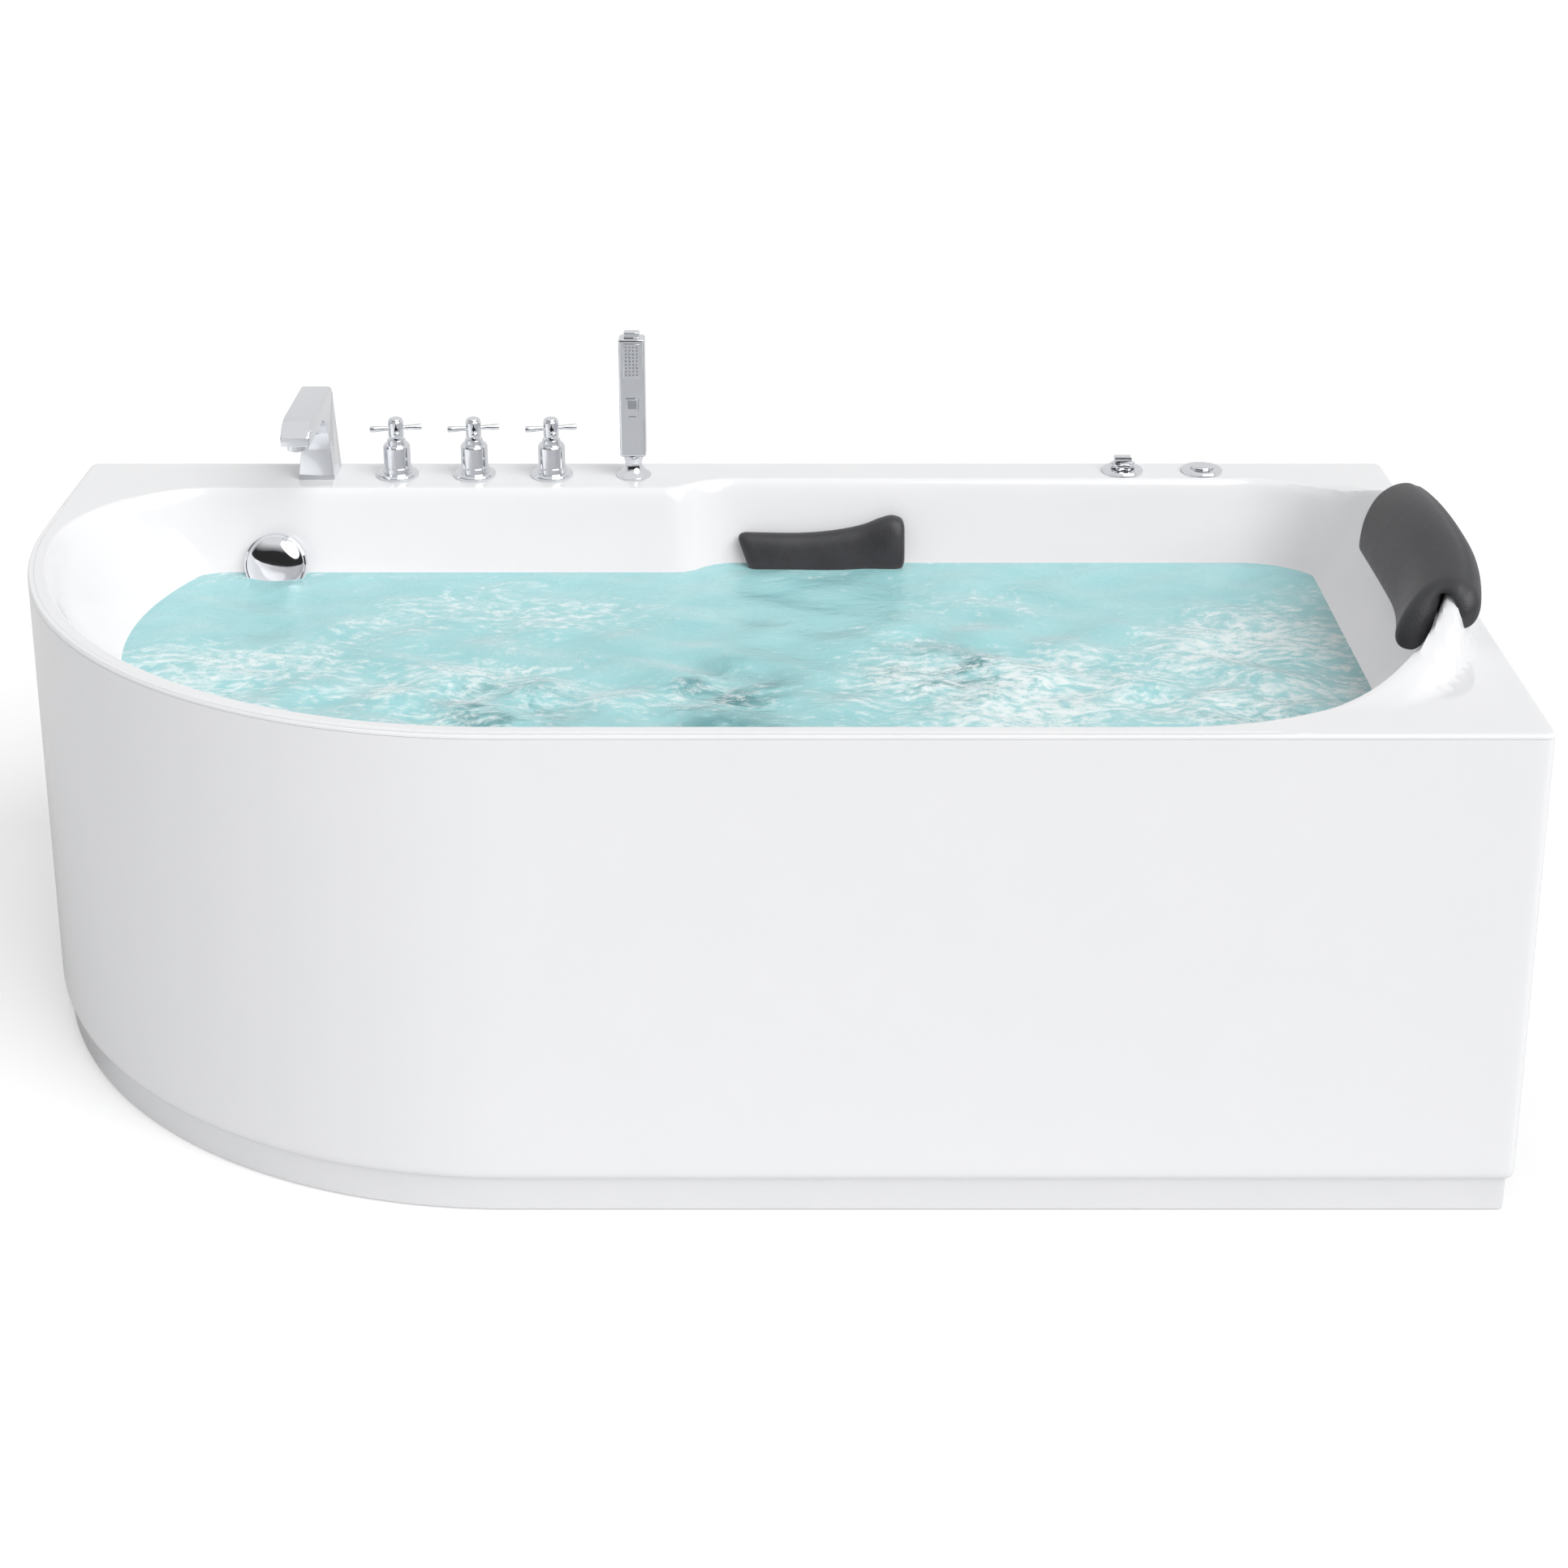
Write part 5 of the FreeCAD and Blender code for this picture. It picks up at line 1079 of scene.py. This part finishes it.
# %% [markdown]
# The square button sits in the pocket with a little air round it and has a grey plastic inset.

# %% Button of the hand shower
push = bar_block("shower_push", 8.5, 67.5, 84.5, front_y - 2, front_y + 2.4, 0.6)
inset = bar_block("push_inset", 6, 70, 82, front_y - 2.4, front_y - 1, 0.3)
fitted(push, chrome, "shower_button", ["handset_button"])
fitted(inset, grey_abs, "shower_button")

# %% [markdown]
# ## The deck controls
# Two chromed discs sit on the narrow deck: one carries the lobed knob that lets air into the
# jets, the other the round button that starts the pump through an air tube.

# %% Discs
disc_line = [(15.3, 0), (28.5, 0), (28.5, 2.4), (26.9, 4.3), (24, 5), (17, 5), (15.8, 4.6),
             (15.3, 4), (15.3, 0)]
discs = [turned("disc", disc_line, 72, 0.0, (x, control_y, seat_z)) for x in (air_x, button_x)]
discs = settled(joined(discs, "chrome_discs"), 30.0)
fitted(discs, chrome, "bath", ["control_discs"])

# %% [markdown]
# The knob's foot has six shallow lobes for wet fingers, and a raised bow shows how far it is
# turned. Both are plan outlines that are extruded upwards and bevelled.

# %% Air knob
def softened(obj):
    """Rounds the edges of a prism."""
    return applied(outward(obj), "BEVEL", width=1.2 * MM, segments=2, limit_method="ANGLE",
                   angle_limit=math.radians(40))


lobes, lobe_r, lobe_depth = 6, 15.4, 1.6
lobed = []
for i in range(72):
    t = 2 * math.pi * i / 72
    r = lobe_r + lobe_depth * math.cos(lobes * t)
    lobed.append((r * math.cos(t), r * math.sin(t), 0.0))
bow_line = [(-12, -7), (12, -7), (9, 0), (12, 7), (-12, 7), (-9, 0)]
base = softened(prism("knob_base", lobed, (0.0, 0.0, 8.0)))
bow = softened(prism("knob_bow", [(x, y, 7.5) for x, y in bow_line], (0.0, 0.0, 9.0)))
stem = turned("knob_stem", [(0, -48), (4, -48), (4, 1), (0, 1)], 32)
knob = placed(joined([base, bow, stem], "air_control_knob"), (air_x, control_y, seat_z + 5.3))
fitted(settled(knob, 30.0), chrome, "air_turner", ["air_knob"])

# %% [markdown]
# The pump's button is a plain dished cap on a stem.

# %% Start button
button_line = [(0, -40), (4, -40), (4, -13.2), (15, -13.2), (15, 7.2), (14, 8.3), (12.6, 8.5),
               (11.6, 7.9), (0, 7.4)]
button = turned("start_button", button_line, 64, 0.0, (button_x, control_y, seat_z))
fitted(button, chrome, "push_button", ["on_button"])

# %% [markdown]
# ## Overflow, drain, jets and suction
# These fittings stand square to the leaning walls, so each is spun upright at the origin and then
# stood on its wall with its axis looking into the basin.

# %% Overflow knob and drain
dome_line = [(0, -36), (5, -36), (5, 8), (37, 8), (41, 9.2), (42.5, 12), (42.5, 17), (41.6, 19.2),
             (39.6, 20.4), (38.4, 20.2), (37.6, 21), (34, 23.6), (27, 26.8), (18, 29), (9, 29.8),
             (0, 30)]
flange_line = [(17, -21), (23.5, -21), (23.5, 0.3), (35, 0.3), (34.6, 1.9), (32.4, 3.1), (30, 3.3),
               (24, 2.2), (19, 0.5), (17, -2), (17, -21)]
plug_line = [(0, -30.4), (4, -30.4), (4, 3.6), (28, 3.6), (31, 4.8), (30.6, 6.4), (27, 7.6),
             (16, 8.4), (0, 8.6)]
dome = turned("overflow_dome", dome_line, 96, 0.0, overflow_at, -outwards("rear", upper_lean))
fitted(dome, chrome, "overflow_turner", ["overflow_knob"])
flange = turned("waste_flange", flange_line, 72, 0.0, drain_at)
fitted(flange, chrome, "bath", ["drain_flange"])
plug = turned("waste_plug", plug_line, 72, 0.0, drain_at)
fitted(plug, chrome, "plug", ["drain_plug"])

# %% [markdown]
# A jet is a chromed ring with an eyeball in it that can be aimed. All rings are one node in the
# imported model, so they are joined; every eyeball stays a piece of its own because it moves.

# %% Jets
ring_line = [(10.8, -8), (13.7, -8), (13.7, 0.3), (32, 0.3), (31.4, 2.2), (28, 4.1), (22, 4.9),
             (16, 5), (13.4, 4.2), (11.4, 3.4), (10.8, 2.6), (10.8, -8)]
ball_line = [(4.5, -7), (7, -7), (9.2, -4), (10, 0), (9.4, 3.6), (7.4, 6.8), (6.8, 8.6), (6.0, 9),
             (4.5, 9), (4.5, -7)]
rings = joined([turned("jet_ring", ring_line, 64, 0.0, at, -out) for at, out in jets], "jet_rings")
fitted(settled(rings, 30.0), chrome, "bath", ["jet_faces"])
for i, (at, out) in enumerate(jets, 1):
    eye = turned("jet_eyeball_%d" % i, ball_line, 40, 0.0, at, -out)
    fitted(eye, chrome, "nozzle_%d" % i, ["jet_nozzle_%d" % i])

# %% [markdown]
# The suction cover keeps hair and fingers out of the pump: a low dome with five slots, as long
# as the circle allows at their places.

# %% Suction cover
cover_line = [(0, 9.7), (35, 9.7), (41.6, 8.4), (44, 5.4), (44, 0.3), (40, 0.3), (40, 5.2),
              (0, 5.2)]
slot_reach, slot_gap, slot_half = 32.0, 12, 2.5
grille = turned("suction_grille", cover_line, 72, 0.0)
slots = []
for i in range(-2, 3):
    half = math.sqrt(slot_reach ** 2 - (i * slot_gap) ** 2)
    slots.append(block("slot", (-half, i * slot_gap - slot_half, -5),
                       (half, i * slot_gap + slot_half, 20), 1.6))
cut_by(grille, joined(slots, "slots"))
collar = turned("suction_collar", [(12, -10), (15.7, -10), (15.7, 6), (12, 6), (12, -10)], 40, 0.0)
grille = placed(joined([grille, collar], "suction_grille"), suction_at,
                -outwards("front", wall_lean))
fitted(settled(grille, 30.0), chrome, "bath", ["suction_cover"])

# %% [markdown]
# ## The water
# The bath is shown filled and running. The water isn't part of the object and is put on no body:
# it is a sheet at its level that reaches the walls all round. Its edge is found on the shell's
# own rows of points, and rings lead from there to the middle line.

# %% Water line on the walls
water_z = 490.0
edge_points = []
for column, line in zip(grid, height):
    below = int(np.argmax((line < water_z) & (np.arange(len(line)) >= len(outer_shares) - 1)))
    share = (line[below - 1] - water_z) / (line[below - 1] - line[below])
    edge_points.append(column[below - 1] + (column[below] - column[below - 1]) * share)
edge_points = np.array(edge_points)
middles = np.array([(min(max(p[0], -300.0), spine_to), spine_y) for p in edge_points])
print("water from x", round(edge_points[:, 0].min()), "to", round(edge_points[:, 0].max()))

# %% [markdown]
# The jets stir the water: it is calm at the wall, ripples everywhere else and boils up at four
# places. A fluid simulation would need baked files, so the swell is a sum of waves.

# %% Water sheet
layers = 60
boils = ((-420, -120), (-150, -60), (330, 40), (620, -100))
pts = []
for k in range(layers + 1):
    calm = min(k / 6.0, 1.0)
    for x, y in edge_points + (middles - edge_points) * (k / layers):
        boil = sum(math.exp(-(((x - bx) / 190.0) ** 2 + ((y - by) / 150.0) ** 2))
                   for bx, by in boils)
        swell = (2.2 * math.sin(x / 23.0 + 1.7 * math.sin(y / 31.0))
                 + 1.6 * math.sin(y / 15.0 + x / 40.0))
        pts.append((x, y, water_z + calm * (0.5 + boil) * swell))
water = settled(cleaned(mesh_object("bath_water", pts, bridged(layers + 1)), 0.3), 80.0)
print("water faces:", len(water.data.polygons))

# %% [markdown]
# Running bath water over white acrylic looks pale turquoise. Three noises of different size make
# its pattern, all bent by a slow warp and drawn out along the bath: patches, ripples, flecks.

# %% Pattern of the stirred water
made, tree = blank("aerated_water")
place = add(tree, "ShaderNodeTexCoord").outputs["Object"]
warp = pattern(tree, "Noise", 7.0, place, Detail=3.0).outputs["Color"]
bent = add(tree, "ShaderNodeVectorMath", {"operation": "MULTIPLY_ADD", 1: (0.10, 0.10, 0.0)},
           {0: warp, 2: place}).outputs[0]
drawn = add(tree, "ShaderNodeMapping", {"Scale": (0.55, 1.0, 1.0)}, {"Vector": bent}).outputs[0]
patches = noise(tree, 4.6, 4.0, drawn)
flecks = noise(tree, 88.0, 9.0, drawn, 0.72)
ripples = noise(tree, 24.0, 6.0, drawn, 0.6)
print("nodes of the pattern:", len(tree.nodes))

# %% [markdown]
# Foam lies where patches and flecks are both strong, and most of it near the two ends, where the
# jets' streams meet. Where a jet breaks the surface there is a darker, rougher spot.

# %% Foam and dark spots
froths = ((-520.0, -70.0, 0.34), (560.0, 20.0, 0.36))
dark_spots = ((-215.0, -95.0), (50.0, -40.0), (55.0, -190.0), (330.0, 20.0), (700.0, -170.0))


def nearness(x, y, strong, weak, start, stop):
    """A value that fades with the distance in metres from a place on the water."""
    spot = (x * MM, y * MM, water_z * MM)
    gap = add(tree, "ShaderNodeVectorMath", {"operation": "DISTANCE", 1: spot}, {0: bent})
    return ranged(tree, gap.outputs["Value"], strong, weak, start, stop)


thick = patches
for x, y, reach in froths:
    thick = maths(tree, "ADD", thick, nearness(x, y, 0.13, -0.02, 0.08, reach))
foam = ranged(tree, maths(tree, "MULTIPLY", thick, flecks), 0.0, 1.0, 0.25, 0.37)
dark = nearness(*dark_spots[0], 0.9, 0.0, 0.03, 0.12)
for x, y in dark_spots[1:]:
    dark = maths(tree, "MAXIMUM", dark, nearness(x, y, 0.9, 0.0, 0.03, 0.12))
broken = maths(tree, "MULTIPLY", dark, ranged(tree, ripples, 0.0, 1.0, 0.42, 0.58))
print("nodes with foam:", len(tree.nodes))

# %% [markdown]
# Three mixes give the colour: light and deep turquoise, dark spots, white foam. The water is
# hidden from reflections and from the light of other things, since its colour would tint the
# white walls and the chrome more than the picture shows.

# %% Colour of the stirred water
depth = mixed(tree, ripples, "8FCFD3", "B9E4E6")
colour = mixed(tree, foam, mixed(tree, broken, depth, "3E8389"), "F2FBFB")
stirred = bumped(tree, flecks, 0.4, 0.002, bumped(tree, ripples, 0.6, 0.006))
finished(made, colour, ranged(tree, foam, 0.08, 0.5), stirred, IOR=1.33)
dressed(water, made)
water.visible_glossy = False
water.visible_diffuse = False
water.visible_shadow = False

# %% [markdown]
# ## The room for the picture
# The floor and the air behind are plain white. The floor is seen by the camera a little lighter
# than it is lit, so that it runs out to white and still holds a soft shadow.

# %% Floor
WHITE = (1.0, 1.0, 1.0, 1.0)
bpy.ops.object.select_all(action="DESELECT")
bpy.ops.mesh.primitive_plane_add(size=60.0, location=(0.0, 0.0, 0.0))
ground = bpy.context.object
ground.name = "studio_floor"
made, tree = blank("studio_floor_white")
camera_ray = add(tree, "ShaderNodeLightPath").outputs["Is Camera Ray"]
matt = add(tree, "ShaderNodeBsdfDiffuse", {"Color": (0.8, 0.8, 0.8, 1.0)})
glow = add(tree, "ShaderNodeEmission", {"Color": WHITE},
           {"Strength": ranged(tree, camera_ray, 0.0, 0.3)})
both = add(tree, "ShaderNodeAddShader", links={0: matt.outputs[0], 1: glow.outputs[0]})
add(tree, "ShaderNodeOutputMaterial", links={"Surface": both.outputs[0]})
dressed(ground, made)
print("floor in m:", tuple(round(c) for c in ground.dimensions))

# %% [markdown]
# The air lights everything evenly and the camera sees it as white. Polished metal would vanish in
# that, so it sees white behind the bath and above, and a dim studio on the camera's side, which
# draws the dark lines that chrome has.

# %% Air
world = bpy.data.worlds.new("studio_air")
bpy.context.scene.world = world
world.use_nodes = True
tree = world.node_tree
tree.nodes.clear()
rays = add(tree, "ShaderNodeLightPath")
place = add(tree, "ShaderNodeTexCoord")
parts = add(tree, "ShaderNodeSeparateXYZ", links={0: place.outputs["Generated"]})
behind = ranged(tree, parts.outputs["Y"], 0.03, 0.8, -0.3, 0.0)
above = ranged(tree, parts.outputs["Z"], 0.0, 0.85, 0.5, 0.8)
lit = add(tree, "ShaderNodeBackground", {"Color": WHITE, "Strength": 0.5})
mirrored = add(tree, "ShaderNodeBackground", {"Color": WHITE},
               {"Strength": maths(tree, "MAXIMUM", behind, above)})
white = add(tree, "ShaderNodeBackground", {"Color": WHITE, "Strength": 1.0})
unseen = add(tree, "ShaderNodeMixShader", links={0: rays.outputs["Is Glossy Ray"],
                                                 1: lit.outputs[0], 2: mirrored.outputs[0]})
seen = add(tree, "ShaderNodeMixShader", links={0: rays.outputs["Is Camera Ray"],
                                               1: unseen.outputs[0], 2: white.outputs[0]})
add(tree, "ShaderNodeOutputWorld", links={"Surface": seen.outputs[0]})
print("nodes of the air:", len(tree.nodes))

# %% [markdown]
# One very wide sun from above, in front and to the right gives the panel its even tone and the
# soft shadow on the left. A small lamp would draw hard edges that the picture doesn't have.

# %% Sun
bpy.ops.object.light_add(type="SUN", rotation=(math.radians(44.0), 0.0, math.radians(42.0)))
key = bpy.context.object
key.name = "studio_key"
key.data.energy = 2.0
key.data.angle = math.radians(50.0)
bpy.context.scene.view_settings.view_transform = "Standard"
print("sun's width in degrees:", round(math.degrees(key.data.angle)))
